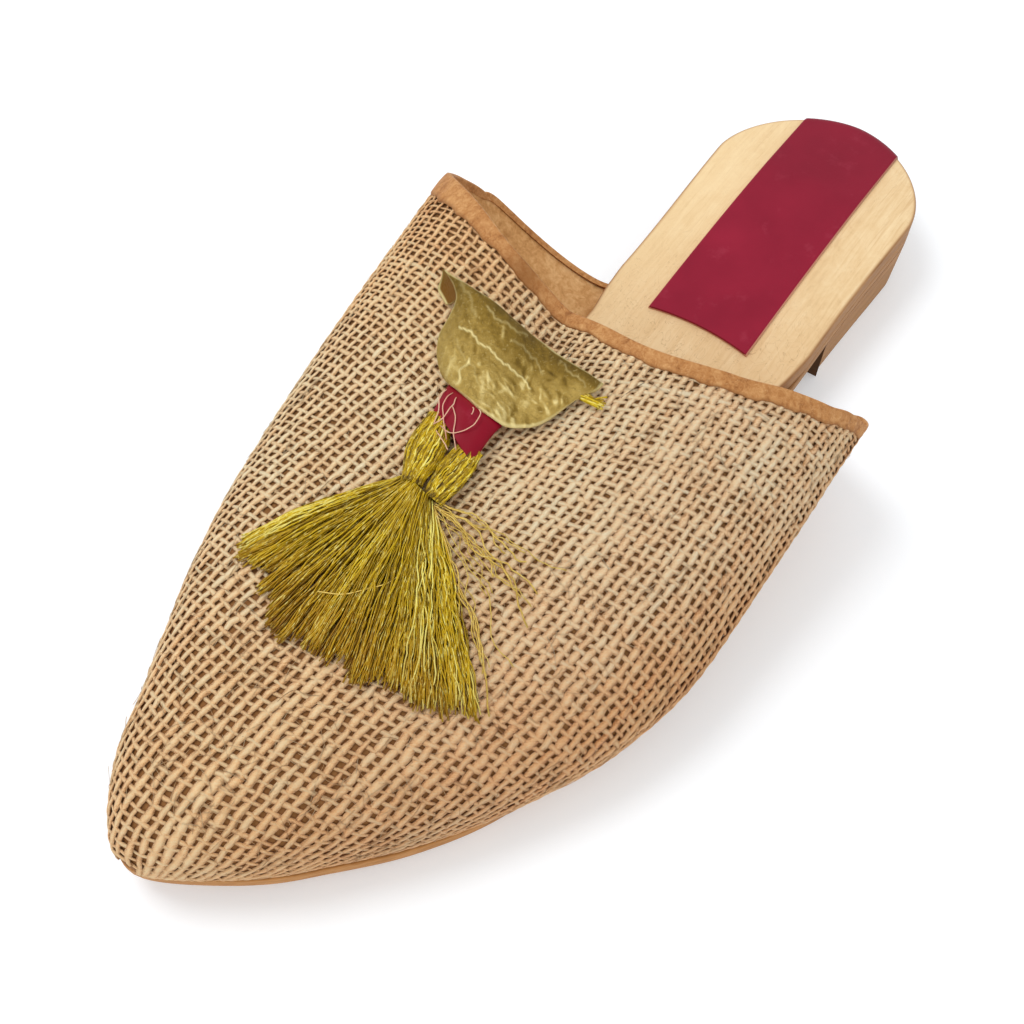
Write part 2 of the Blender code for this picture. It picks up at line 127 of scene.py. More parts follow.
def readCurve(rows, column, at):
    # reads a table on a smooth curve that never overshoots its points
    rows = np.asarray(rows, float)
    keys, values = rows[:, 0], rows[:, column]
    run = np.diff(keys)
    rise = np.diff(values) / run
    both = rise[:-1] * rise[1:]
    inner = np.where(both > 0, 2 * both / np.where(both > 0, rise[:-1] + rise[1:], 1), 0)
    slope = np.concatenate([rise[:1], inner, rise[-1:]])
    at = np.clip(at, keys[0], keys[-1])
    i = np.clip(np.searchsorted(keys, at) - 1, 0, len(run) - 1)
    t = (at - keys[i]) / run[i]
    return (
        values[i] * (2 * t**3 - 3 * t**2 + 1)
        + slope[i] * run[i] * (t**3 - 2 * t**2 + t)
        + values[i + 1] * (3 * t**2 - 2 * t**3)
        + slope[i + 1] * run[i] * (t**3 - t**2)
    )


def ease(value):
    # 0 below 0, 1 above 1, soft between
    t = np.clip(value, 0.0, 1.0)
    return t * t * (3.0 - 2.0 * t)


def bell(value, middle, width):
    # 1 at the middle, fading to 0 on both sides
    return np.exp(-(((value - middle) / width) ** 2))


def world(x, station, z):
    # a point of the shoe in the frame's axes, still in millimetres
    x, station, z = np.broadcast_arrays(x, station, z)
    return np.stack([shoe["axisX"] + x, shoe["heelY"] - station, z], -1)


def unit(vectors):
    # the same directions at length 1
    size = np.linalg.norm(vectors, axis=-1, keepdims=True)
    return vectors / np.maximum(size, 1e-9)


def pathLength(points):
    # the length run so far at each point of a path
    return np.concatenate([[0], np.cumsum(np.linalg.norm(np.diff(points, axis=0), axis=1))])


def soleBottom(station):
    waist = (station - shoe["seatEnd"]) / (shoe["treadStart"] - shoe["seatEnd"])
    waist = np.clip(waist, 0, 1)
    spring = (station - shoe["treadEnd"]) / (shoe["length"] - shoe["treadEnd"])
    level = shoe["seatHeight"] * (1 - waist) ** 1.5 * (1 + 1.2 * waist)
    return level + shoe["toeSpring"] * np.clip(spring, 0, None) ** 2


def soleHalf(station):
    share = np.clip(1 - station / shoe["heelRadius"], 0, 1)
    heel = (1 - share ** shoe["heelRound"]) ** (1 / shoe["heelRound"])
    closing = (station - shoe["toeStart"]) / (shoe["soleTip"] - shoe["toeStart"])
    shut = np.sqrt(1 - np.clip(closing, 0, 1) ** 2.1)
    body = readCurve(solePlan, 2, station) * shut
    return np.where(station < shoe["heelRadius"], shoe["heelRadius"] * heel, body)


def soleMiddle(station):
    return readCurve(solePlan, 1, station)


def footbedTop(station):
    return soleBottom(station) + shoe["outsole"] + shoe["gap"] + shoe["footbed"]


def upperPoint(around, station, inset=0.0):
    # around is 0 at the outer feather edge and 1 at the inner; inset moves inwards
    around, station, inset = np.broadcast_arrays(around, station, inset)
    tip = shoe["length"] - inset
    closing = np.clip((station - shoe["toeStart"]) / (tip - shoe["toeStart"]), 0, 1)
    shut = np.sqrt(np.maximum(1 - closing**2.1, 0))
    middle, half, widest, crest, lean, power = (
        readCurve(upperSections, column, station) for column in range(1, 7)
    )
    half = (half - inset) * shut
    foot = (readCurve(solePlan, 2, station) - inset) * shut
    footMiddle = soleMiddle(station)
    low = soleBottom(station) + shoe["outsole"] + shoe["gap"]
    toeHeight = low + 2.0
    crest = toeHeight + (crest - inset - toeHeight) * shut
    widest = toeHeight + (widest - toeHeight) * shut
    side = np.where(around < 0.5, 1.0, -1.0)
    edge = np.minimum(around, 1 - around)
    turn = 0.5 * math.pi * np.clip(edge / shoe["lowShare"], 0, 1)
    out = np.sin(turn) ** (2 / power)
    rise = 1 - np.maximum(np.cos(turn), 0) ** (2 / power)
    start = footMiddle + side * foot
    lowX = start + (middle + side * half - start) * out
    lowZ = low + (widest - low) * rise
    turn = math.pi * (around - shoe["lowShare"]) / (1 - 2 * shoe["lowShare"])
    turn = np.clip(turn, 0, math.pi)
    across = np.abs(np.cos(turn)) ** (2 / shoe["archPower"]) * np.sign(np.cos(turn))
    up = np.maximum(np.sin(turn), 0) ** (2 / shoe["archPower"])
    highX = middle + half * across + lean * shut * up
    reach = (shoe["throatEnd"] - station) / (shoe["throatEnd"] - shoe["throatStart"])
    away = np.abs(highX - shoe["throatX"]) / shoe["throatWidth"]
    dip = shoe["throatDip"] * ease(reach) * np.exp(-(away ** shoe["throatPower"]))
    highZ = widest + (crest - widest) * up - dip * up
    isLow = edge < shoe["lowShare"]
    return world(np.where(isLow, lowX, highX), station, np.where(isLow, lowZ, highZ))


def collarStation(around):
    return readCurve(collarLine, 1, around)


def aroundAt(x, station):
    # where on the arch the surface passes over x
    x, station = np.broadcast_arrays(x, station)
    low = np.full(x.shape, shoe["lowShare"])
    high = 1 - low
    halvings = 26
    for _ in range(halvings):
        middle = 0.5 * (low + high)
        inner = upperPoint(middle, station)[..., 0] - shoe["axisX"] > x
        low, high = np.where(inner, middle, low), np.where(inner, high, middle)
    return 0.5 * (low + high)


def overPlan(x, station, lift):
    # the point above x and a station that stands off the upper by lift
    around = aroundAt(x, station)
    step = 0.004
    acrossWay = upperPoint(around + step, station) - upperPoint(around - step, station)
    alongWay = upperPoint(around, station + 0.4) - upperPoint(around, station - 0.4)
    normal = unit(np.cross(alongWay, acrossWay))
    normal = normal * np.where(normal[..., 2:] < 0, -1, 1)
    return upperPoint(around, station) + np.asarray(lift)[..., None] * normal


# the cloth's own coordinates: p is the arc round a section from the middle line,
# positive to the inner side, and q the arc along the shoe from the middle station

drape = {
    "middleStart": (128, -7.0),     # station and x of the cloth's middle line
    "middleEnd": (264, -20.5),
    "middleStation": 150.0,
    "reach": 124.0,                 # how far p runs to each side
    "firstArc": -75,                # and where q starts and ends
    "lastArc": 140,
    "step": 0.5,
    "depth": 0.42,                  # the cloth's middle under the upper's face
    "firstRow": 78,                 # the rows of the table are evenly spaced up to the fine ones,
    "rowPitch": 0.6,                # which crowd towards the toe
    "fineStart": 240,
    "fineRows": 90,
    "ringPoints": 361,
}


def makeDrape():
    tip = shoe["length"] - drape["depth"]
    even = np.arange(drape["firstRow"], drape["fineStart"], drape["rowPitch"])
    fine = tip - (tip - drape["fineStart"]) * np.linspace(1, 0, drape["fineRows"]) ** 2
    rows = np.concatenate([even, fine])
    rows[-1] = tip - 0.002
    around = 0.5 - 0.5 * np.cos(math.pi * np.linspace(0, 1, drape["ringPoints"]))
    points = upperPoint(around[None], rows[:, None], drape["depth"])
    arc = np.linalg.norm(np.diff(points, axis=1), axis=-1)
    arc = np.concatenate([np.zeros((len(rows), 1)), np.cumsum(arc, 1)], 1)
    (firstStation, firstX), (lastStation, lastX) = drape["middleStart"], drape["middleEnd"]
    slant = (lastX - firstX) / (lastStation - firstStation)
    middleX = firstX + slant * (rows - firstStation)
    middle = aroundAt(middleX, rows)
    p = np.arange(-drape["reach"], drape["reach"] + 0.1, drape["step"])
    aroundTable = np.zeros((len(rows), len(p)))
    ends = np.zeros((len(rows), 2))
    for k in range(len(rows)):
        own = arc[k] - np.interp(middle[k], around, arc[k])
        aroundTable[k] = np.interp(p, own, around)
        ends[k] = own[0], own[-1]
    cloth = upperPoint(aroundTable, rows[:, None], drape["depth"])
    along = np.linalg.norm(np.diff(cloth, axis=0), axis=-1)
    along = np.concatenate([np.zeros((1, len(p))), np.cumsum(along, 0)], 0)
    zero = np.array([np.interp(drape["middleStation"], rows, along[:, j]) for j in range(len(p))])
    along = along - zero
    q = np.arange(drape["firstArc"], drape["lastArc"], drape["step"])
    stationTable = np.array([np.interp(q, along[:, j], rows) for j in range(len(p))])
    return {"rows": rows, "p": p, "q": q, "around": aroundTable, "ends": ends,
            "station": stationTable, "along": along}


def readGrid(table, rowKeys, columnKeys, row, column):
    # reads a table between its rows and columns
    i = np.interp(row, rowKeys, np.arange(len(rowKeys)))
    j = np.interp(column, columnKeys, np.arange(len(columnKeys)))
    i0 = np.clip(i.astype(int), 0, len(rowKeys) - 2)
    j0 = np.clip(j.astype(int), 0, len(columnKeys) - 2)
    s, t = i - i0, j - j0
    return (
        table[i0, j0] * (1 - s) * (1 - t) + table[i0 + 1, j0] * s * (1 - t)
        + table[i0, j0 + 1] * (1 - s) * t + table[i0 + 1, j0 + 1] * s * t
    )


cloth = makeDrape()


def clothEnds(station):
    # the arcs at which the cloth meets the sole, on the outer and the inner side
    return (np.interp(station, cloth["rows"], cloth["ends"][:, 0]),
            np.interp(station, cloth["rows"], cloth["ends"][:, 1]))


def clothAround(p, station):
    return readGrid(cloth["around"], cloth["rows"], cloth["p"], station, p)


def clothPoint(p, station, lift=0.0, inset=0.0):
    # a point on the upper at an arc from its middle line, standing off by lift
    point = upperPoint(clothAround(p, station), station, inset)
    if np.all(np.asarray(lift) == 0):
        return point
    return point + np.asarray(lift)[..., None] * clothNormal(p, station)


def clothNormal(p, station):
    # out of the upper, from the surface's run a little to each side
    reach = 0.6
    low, high = clothEnds(station)
    low, high = low + 0.02, high - 0.02
    p0, p1 = np.clip(p - reach, low, high), np.clip(p + reach, low, high)
    s0, s1 = station - 0.5, np.minimum(station + 0.5, shoe["length"] - 0.6)
    s0 = np.minimum(s0, s1 - 0.2)
    acrossWay = clothPoint(p1, station) - clothPoint(p0, station)
    alongWay = clothPoint(p, s1) - clothPoint(p, s0)
    return unit(np.cross(acrossWay, alongWay))


print("cloth coordinates made")

# meshes

def clearStart():
    for name in ("Cube", "Light", "Camera"):
        if name in bpy.data.objects:
            bpy.data.objects.remove(bpy.data.objects[name])


clearStart()


def signedVolume(points, faces):
    # negative when the faces look inwards
    total = 0.0
    for face in faces:
        a = points[face[0]]
        for b, c in zip(face[1:-1], face[2:]):
            total += float(np.dot(a, np.cross(points[b], points[c])))
    return total


def makePiece(name, points, faces, finish, replaced=(), extras=None, turned=True, sharp=None):
    # one piece from points in millimetres; extras are numbers or vectors for its points
    points = np.asarray(points, float).reshape(-1, 3)
    if turned and signedVolume(points - points.mean(0), faces) < 0:
        faces = [tuple(face[::-1]) for face in faces]
    mesh = bpy.data.meshes.new(name)
    mesh.from_pydata((points * 0.001).tolist(), [], faces)
    for key, values in (extras or {}).items():
        values = np.asarray(values, np.float32).reshape(len(points), -1)
        kind, field = ("FLOAT", "value") if values.shape[1] == 1 else ("FLOAT_VECTOR", "vector")
        layer = mesh.attributes.new(key, kind, "POINT")
        layer.data.foreach_set(field, values.ravel())
    mesh.materials.append(finish)
    mesh.shade_smooth()
    if sharp:
        mesh.set_sharp_from_angle(angle=math.radians(sharp))
    mesh.update()
    piece = bpy.data.objects.new(name, mesh)
    bpy.context.scene.collection.objects.link(piece)
    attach(piece, "root")
    if replaced:
        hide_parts(*replaced)
    return piece


def gridFaces(rows, columns, start=0, closed=False):
    # four-sided faces between the points of a grid, closed round each row if asked
    faces = []
    for i in range(rows - 1):
        for j in range(columns if closed else columns - 1):
            k = (j + 1) % columns
            a, b = start + i * columns + j, start + i * columns + k
            faces.append((a, b, b + columns, a + columns))
    return faces


def thinBody(top, bottom):
    # points and faces of a body between two grids of the same size
    rows, columns = top.shape[:2]
    points = np.concatenate([top.reshape(-1, 3), bottom.reshape(-1, 3)])
    under = rows * columns
    faces = gridFaces(rows, columns)
    faces += [tuple(face[::-1]) for face in gridFaces(rows, columns, under)]
    border = list(range(columns)) + [i * columns + columns - 1 for i in range(1, rows)]
    border += [(rows - 1) * columns + j for j in range(columns - 2, -1, -1)]
    border += [i * columns for i in range(rows - 2, 0, -1)]
    for a, b in zip(border, border[1:] + border[:1]):
        faces.append((b, a, under + a, under + b))
    return points, faces


def tubeRun(centre, up, wide, tall, sides, tone=0.0, twist=1.4, lean=0.0):
    # one thread: rings round a path, with the data its finish reads
    tangent = unit(np.gradient(centre, axis=0))
    side = unit(np.cross(tangent, up))
    up = np.cross(side, tangent)
    turn = 2 * math.pi * np.arange(sides) / sides + 0.5 * math.pi
    wide = np.broadcast_to(wide, len(centre))[:, None, None]
    tall = np.broadcast_to(tall, len(centre))[:, None, None]
    ring = np.cos(turn)[None, :, None] * side[:, None] * wide
    ring = ring + np.sin(turn)[None, :, None] * up[:, None] * tall
    length = pathLength(centre)
    spin = turn[None] + twist * length[:, None]
    start = dice.uniform(0, 400)
    travel = np.broadcast_to(length[:, None] + start, spin.shape)
    # painted light and shade: with lean, a yarn's top is painted lighter and its flanks darker
    tone = np.asarray(tone, float).reshape(-1, 1) + lean * (np.sin(turn) - 0.5) + 0 * spin
    return {"points": centre[:, None] + ring, "fibre": np.stack([travel, np.cos(spin), np.sin(spin)], -1),
            "tone": tone}


def joinRuns(runs):
    # many threads as the points, faces and data of one mesh
    points, faces, fibre, tone, start = [], [], [], [], 0
    for run in runs:
        rows, sides = run["points"].shape[:2]
        points.append(run["points"].reshape(-1, 3))
        fibre.append(run["fibre"].reshape(-1, 3))
        tone.append(np.asarray(run["tone"]).ravel())
        i, j = np.meshgrid(np.arange(rows - 1), np.arange(sides), indexing="ij")
        a, b = start + i * sides + j, start + i * sides + (j + 1) % sides
        quads = np.stack([a, a + sides, b + sides, b], -1).reshape(-1, 4)
        faces += quads.tolist()
        faces.append(list(range(start, start + sides)))
        faces.append(list(range(start + rows * sides - 1, start + (rows - 1) * sides - 1, -1)))
        start += rows * sides
    return np.concatenate(points), faces, {"fibre": np.concatenate(fibre), "tone": np.concatenate(tone)}


def makeThreads(name, runs, finish, replaced=()):
    points, faces, extras = joinRuns(runs)
    return makePiece(name, points, faces, finish, replaced, extras, turned=False)


def wavy(count, length, waves, size):
    # smooth random wandering for many lines at once
    at = np.linspace(0, 1, length)[None]
    total = np.zeros((count, length))
    for quick in (1.0, 1.9, 3.3):
        phase = dice.uniform(0, 2 * math.pi, (count, 1))
        speed = waves * quick * dice.uniform(0.7, 1.3, (count, 1))
        total += np.sin(2 * math.pi * speed * at + phase) / quick
    return size * total / 1.6


# finishes

class Flow:
    # a socket whose values can be added, subtracted and multiplied
    def __init__(self, finish, socket):
        self.finish, self.socket = finish, socket

    def maths(self, operation, first, second=0.5, clamp=False):
        settings = {"operation": operation, "use_clamp": clamp}
        return self.finish.add("ShaderNodeMath", settings, {0: first, 1: second})

    def __add__(self, other):
        return self.maths("ADD", self, other)

    def __radd__(self, other):
        return self.maths("ADD", other, self)

    def __sub__(self, other):
        return self.maths("SUBTRACT", self, other)

    def __rsub__(self, other):
        return self.maths("SUBTRACT", other, self)

    def __mul__(self, other):
        return self.maths("MULTIPLY", self, other)

    def __rmul__(self, other):
        return self.maths("MULTIPLY", other, self)

    def clamp(self):
        # held between 0 and 1
        return self.maths("ADD", self, 0.0, True)

    def size(self):
        # without its sign
        return self.maths("ABSOLUTE", self)


def shade(red, green, blue):
    # a colour in everyday 0 to 255 steps, as the shader wants it
    linear = [((v / 255 + 0.055) / 1.055) ** 2.4 if v > 10 else v / 3294 for v in (red, green, blue)]
    return (*linear, 1.0)


def socketName(key):
    # baseColor becomes Base Color
    words = "".join(" " + letter if letter.isupper() else letter for letter in key)
    return words.title().replace("Ior", "IOR")


class Finish:
    # one material, with a short way to add each kind of node
    def __init__(self, name, roughness=0.6, **fixed):
        self.material = bpy.data.materials.new(name)
        self.material.use_nodes = True
        self.nodes = self.material.node_tree.nodes
        self.links = self.material.node_tree.links
        self.shader = self.nodes["Principled BSDF"]
        self.shader.inputs["Roughness"].default_value = roughness
        for key, value in fixed.items():
            self.shader.inputs[socketName(key)].default_value = value

    def add(self, kind, settings=None, sockets=None, out=0):
        node = self.nodes.new(kind)
        for key, value in (settings or {}).items():
            if key == "stops":
                self.setStops(node.color_ramp, value)
            else:
                setattr(node, key, value)
        for key, value in (sockets or {}).items():
            if isinstance(value, Flow):
                self.links.new(value.socket, node.inputs[key])
            else:
                node.inputs[key].default_value = value
        return Flow(self, node.outputs[out])

    def setStops(self, ramp, stops):
        while len(ramp.elements) < len(stops):
            ramp.elements.new(0.5)
        for element, (position, colour) in zip(ramp.elements, stops):
            element.position, element.color = position, colour

    def feed(self, **flows):
        for key, flow in flows.items():
            self.links.new(flow.socket, self.shader.inputs[socketName(key)])

    def stretch(self, vector, scale):
        return self.add("ShaderNodeVectorMath", {"operation": "MULTIPLY"}, {0: vector, 1: scale})

    def place(self, scale=(1, 1, 1)):
        # the point's place in millimetres, stretched along each axis
        return self.stretch(self.add("ShaderNodeTexCoord", out=3), tuple(1000 * v for v in scale))

    def axis(self, index):
        return self.add("ShaderNodeSeparateXYZ", {}, {0: self.place()}, index)

    def outward(self, low, high):
        # 0 at low and 1 at high, in millimetres to the outer side
        return self.span(self.axis(0), low, high)

    def forward(self, low, high):
        # the same towards the toe
        return self.span(self.axis(1) * -1, low, high)

    def number(self, name):
        return self.add("ShaderNodeAttribute", {"attribute_name": name}, out=2)

    def vector(self, name):
        return self.add("ShaderNodeAttribute", {"attribute_name": name}, out=1)

    def noise(self, at, scale=1.0, detail=3.0, roughness=0.55, distortion=0.0):
        sockets = {"Vector": at, "Scale": scale, "Detail": detail, "Roughness": roughness,
                   "Distortion": distortion}
        return self.add("ShaderNodeTexNoise", {}, sockets)

    def cells(self, at, scale=1.0):
        return self.add("ShaderNodeTexVoronoi", {}, {"Vector": at, "Scale": scale})

    def ramp(self, value, dye):
        stops = [(place, shade(*colour)) for place, *colour in dye]
        return self.add("ShaderNodeValToRGB", {"stops": stops}, {0: value})

    def mix(self, share, first, second, way="MIX"):
        return self.add("ShaderNodeMix", {"data_type": "RGBA", "blend_type": way},
                        {0: share, 6: first, 7: second}, 2)

    def stainAndShade(self, share, colour, tint):
        # darkens a colour towards a tint, as a dye does, and paints shade where it is used for that
        return self.mix(share, colour, tint, "MULTIPLY")

    def span(self, value, low, high):
        # 0 at low, 1 at high, soft between and level beyond
        return self.add("ShaderNodeMapRange", {"interpolation_type": "SMOOTHSTEP"},
                        {0: value, 1: low, 2: high})

    def bump(self, height, depth, strength=1.0, below=None):
        # depth in millimetres
        sockets = {"Height": height, "Distance": depth * 0.001, "Strength": strength}
        if below is not None:
            sockets["Normal"] = below
        return self.add("ShaderNodeBump", {}, sockets)


# each material's colours from its darkest places to its lightest: place on the ramp, red,
# green, blue
dyes = {
    "jute": [(0.0, 138, 92, 48), (0.26, 206, 154, 100), (0.48, 250, 208, 156), (0.7, 255, 224, 174),
             (0.95, 255, 238, 198)],
    # the backing's brown is partly its own and partly painted shade for the holes between the yarns
    "backing": [(0.3, 104, 68, 36), (0.7, 150, 108, 66)],
    "lining": [(0.36, 166, 114, 62), (0.5, 200, 150, 94), (0.64, 224, 180, 126)],
    "maple": [(0.32, 206, 172, 124), (0.5, 228, 196, 148), (0.7, 240, 214, 170)],
    "stack": [(0.3, 142, 100, 62), (0.5, 162, 118, 76), (0.68, 180, 136, 92)],
    "sole": [(0.3, 166, 114, 62), (0.7, 198, 144, 88)],
    "binding": [(0.34, 136, 84, 42), (0.48, 178, 122, 70), (0.66, 212, 162, 106)],
    "strip": [(0.3, 134, 18, 44), (0.7, 150, 26, 52)],
    "band": [(0.3, 128, 6, 30), (0.7, 146, 12, 38)],
    "leaf": [(0.2, 80, 60, 14), (0.43, 126, 100, 36), (0.64, 170, 143, 74), (0.84, 228, 208, 142)],
    "tassel": [(0.0, 84, 62, 0), (0.22, 134, 106, 0), (0.46, 176, 142, 2), (0.72, 210, 176, 10),
               (0.94, 232, 206, 50), (1.0, 250, 238, 130)],
    "stray": [(0.2, 176, 136, 44), (0.8, 236, 204, 104)],
    "pink": [(0.2, 204, 128, 112), (0.8, 244, 198, 166)],
}


def juteFinish():
    look = Finish("juteYarn", 0.9, sheenWeight=0.12, sheenRoughness=0.6, specularIorLevel=0.12)
    fibre, tone = look.vector("fibre"), look.number("tone")
    streak = look.noise(look.stretch(fibre, (0.5, 2.2, 2.2)), 1.0, 3.0, 0.65)
    fine = look.noise(look.stretch(fibre, (1.6, 5.0, 5.0)), 1.0, 2.0, 0.7)
    patch = look.noise(look.place(), 0.06, 2.0)
    # the tone brings in the yarns' random tones and their painted light and shade
    mixed = (streak - 0.5) * 0.8 + (fine - 0.5) * 1.0 + (tone - 0.5) * 0.9 + (patch - 0.5) * 0.35 + 0.5
    colour = look.ramp(mixed, dyes["jute"])
    # its tint changes: warmer towards the toe, painted shade over the outer side, more orange on the inner
    # top, darker and warmer low on the outer side, and warmer behind the shoe's middle
    toeward = look.forward(30.0, 125.0)
    innerTop = look.outward(-5.0, -25.0) * look.forward(36.0, 4.0)
    lowSide = look.span(look.axis(2), 42.0, 22.0) * look.outward(-10.0, 10.0)
    for share, tint in (
        (toeward * 0.34, shade(246, 204, 154)),
        # painted shade over the outer side
        (look.outward(-5.0, 35.0) * 0.6, shade(242, 236, 240)),
        (innerTop * 0.8, shade(254, 238, 220)),
        (lowSide * (1 - toeward * 0.6) * 0.7, shade(232, 190, 142)),
        (look.span(look.axis(1), 0.0, 36.0) * 0.6, shade(244, 214, 172)),
    ):
        colour = look.stainAndShade(share, colour, tint)
    fleck = look.span(look.noise(look.stretch(fibre, (0.9, 1.3, 1.3)), 1.0, 1.0), 0.68, 0.78)
    colour = look.mix(fleck * 0.4, colour, shade(146, 106, 68))
    look.feed(baseColor=colour, normal=look.bump(streak * 0.5 + fine * 0.7, 0.45, 1.0))
    return look.material


def backingFinish():
    look = Finish("upperBacking", 0.85, specularIorLevel=0.15)
    inner = look.number("inner")
    spot = look.place()
    # partly the backing's own brown and partly painted shade for the holes between the yarns
    under = look.ramp(look.noise(spot, 1.6, 3.0), dyes["backing"])
    under = look.mix(look.forward(20.0, 110.0) * 0.5, under, shade(150, 100, 56))
    rim = look.forward(114.0, 124.0) * look.span(look.axis(2), 13.0, 8.0)
    under = look.mix(rim, under, shade(206, 158, 108))
    grain = look.noise(spot, 1.2, 4.0)
    cloud = look.noise(spot, 0.06, 2.0)
    mottle = look.noise(spot, 0.4, 5.0, 0.7, 0.8)
    lining = look.ramp(grain * 0.2 + cloud * 0.3 + mottle * 0.5, dyes["lining"])
    look.feed(baseColor=look.mix(inner, under, lining), roughness=0.85 - inner * 0.3,
              normal=look.bump(grain, 0.05, 0.5))
    return look.material


def boardFinish():
    look = Finish("footbedBoard", 0.5, specularIorLevel=0.22)
    top = look.number("top")
    swirl = look.noise(look.place((0.035, 0.02, 0.05)), 1.0, 3.0, 0.6, 2.2)
    grain = look.noise(look.place((0.75, 0.035, 0.3)), 1.0, 5.0, 0.66, 0.9)
    curl = look.noise(look.place((0.16, 0.1, 0.1)), 1.0, 4.0, 0.6, 3.5)
    maple = look.ramp(grain * 0.5 + swirl * 0.35 + curl * 0.25, dyes["maple"])
    front = look.forward(-75.0, -40.0)
    vague = look.noise(look.place((0.22, 0.12, 0.1)), 1.0, 2.0, 0.5, 2.8) - 0.5
    line = 1 - look.span(vague.size(), 0.0, 0.012)
    maple = look.mix(line * (0.14 + front * 0.5), maple, shade(160, 124, 86))
    maple = look.mix(front * 0.3, maple, shade(214, 172, 124))
    streak = look.span(look.noise(look.place((1.3, 0.06, 0.3)), 1.0, 2.0, 0.5, 0.4), 0.6, 0.7)
    maple = look.mix(streak * 0.35, maple, shade(208, 170, 122))
    rim = 1 - look.span(top, 0.75, 1.0)
    maple = look.mix(look.outward(10.0, -30.0) * 0.4, maple, shade(244, 216, 166))
    maple = look.mix(rim * 0.6, maple, shade(188, 146, 100))
    side = stackColour(look)
    look.feed(baseColor=look.mix(look.span(top, 0.45, 0.8), side, maple),
              roughness=0.62 - top * 0.12, normal=look.bump(grain, 0.05, 0.35))
    return look.material


def stackColour(look):
    # stacked leather and wood seen from the side: streaks that run along the shoe
    streak = look.noise(look.place((0.035, 0.05, 0.9)), 1.0, 4.0, 0.65, 0.6)
    fine = look.noise(look.place((0.3, 0.3, 4.0)), 1.0, 3.0)
    return look.ramp(streak * 0.75 + fine * 0.25, dyes["stack"])


def soleFinish():
    look = Finish("outsoleLeather", 0.6, specularIorLevel=0.15)
    grain = look.noise(look.place((0.2, 0.2, 2.0)), 1.0, 4.0)
    tan = look.ramp(grain, dyes["sole"])
    look.feed(baseColor=look.mix(look.forward(-30.0, 30.0), stackColour(look), tan),
              normal=look.bump(grain, 0.06, 0.5))
    return look.material


def heelFinish():
    look = Finish("heelStack", 0.6, specularIorLevel=0.12)
    breast = look.number("breast")
    # painted shade on the breast, which lies in the shadow under the sole
    colour = look.mix(breast * 0.9, stackColour(look), shade(62, 38, 20))
    grain = look.noise(look.place((0.3, 0.3, 3.0)), 1.0, 3.0)
    look.feed(baseColor=colour, normal=look.bump(grain, 0.06, 0.5))
    return look.material


def bindingFinish():
    look = Finish("collarLeather", 0.6, specularIorLevel=0.15)
    spot = look.place()
    grain = look.cells(spot, 2.4)
    cloud = look.noise(spot, 0.16, 3.0)
    crease = look.noise(look.vector("flow"), 1.0, 3.0, 0.6)
    mottle = look.noise(spot, 0.75, 5.0, 0.7, 0.8)
    colour = look.ramp(cloud * 0.25 + crease * 0.25 + mottle * 0.5, dyes["binding"])
    vague = look.noise(spot, 0.5, 3.0, 0.6, 1.6) - 0.5
    scratch = 1 - look.span(vague.size(), 0.0, 0.02)
    colour = look.mix(scratch * 0.35, colour, shade(226, 180, 126))
    rim = look.number("edge")
    colour = look.mix(look.span(rim, 0.75, 1.0) * 0.5, colour, shade(120, 74, 40))
    colour = look.mix(look.span(rim * -1, 0.2, 0.9) * 0.35, colour, shade(226, 182, 128))
    # painted shade at the throat, where the fold is gathered
    colour = look.mix(look.number("tab") * 0.75, colour, shade(134, 84, 40))
    height = look.bump(grain, 0.05, 0.4)
    look.feed(baseColor=colour, roughness=0.5 + cloud * 0.25,
              normal=look.bump(crease * 0.4 + mottle * 0.6, 0.4, 0.8, height))
    return look.material


def crimsonFinish(name, dye, edgeLineAndFoldShade):
    look = Finish(name, 0.5, specularIorLevel=0.14)
    spot = look.place()
    grain = look.cells(spot, 2.8)
    cloud = look.noise(spot, 0.05, 3.0)
    worn = look.span(look.noise(spot, 0.11, 4.0, 0.7), 0.56, 0.72)
    colour = look.ramp(cloud, dye)
    colour = look.mix(worn * 0.3, colour, shade(168, 58, 78))
    if edgeLineAndFoldShade:
        edge = look.number("edge")
        colour = look.mix(look.span(edge, 0.5, 0.75), colour, shade(206, 148, 124))
        # painted shade on the fold over the heel's back
        colour = look.mix(look.number("fold") * 0.55, colour, shade(92, 8, 26))
        colour = look.mix(look.span(look.axis(1), 60.0, 130.0) * 0.35, colour, shade(112, 10, 32))
    look.feed(baseColor=colour, roughness=0.42 + cloud * 0.15, normal=look.bump(grain, 0.04, 0.3))
    return look.material


def leafFinish():
    look = Finish("goldLeaf", 0.42, metallic=0.6, specularIorLevel=0.25)
    spot = look.place()
    grain = look.noise(spot, 1.1, 4.0, 0.65)
    cloud = look.noise(spot, 0.16, 3.0)
    relief = look.number("relief")
    # painted light and shade: lighter on the raised dents and the lower part, darker in the hollows and the
    # upper part
    colour = look.ramp(cloud * 0.3 + relief * 0.6 + grain * 0.2, dyes["leaf"])
    crinkle = look.noise(look.place((1.3, 1.3, 1.3)), 1.0, 5.0, 0.7, 1.0)
    # painted glints on the crinkle's ridges and painted shade in its hollows
    colour = look.mix(look.span(crinkle, 0.56, 0.68) * 0.3, colour, shade(222, 202, 138))
    colour = look.mix(look.span(crinkle, 0.44, 0.32) * 0.35, colour, shade(84, 64, 20))
    # pale veins and rim, with painted glints on the highest dents
    colour = look.mix(look.number("vein"), colour, shade(240, 224, 160))
    # painted shade on the folded tab's curled underside
    under = look.number("under")
    colour = look.mix(under, colour, shade(122, 82, 22))
    look.feed(baseColor=colour, roughness=0.3 + grain * 0.25,
              normal=look.bump(crinkle * 0.6 + grain * 0.4, 0.5, 0.8))
    return look.material


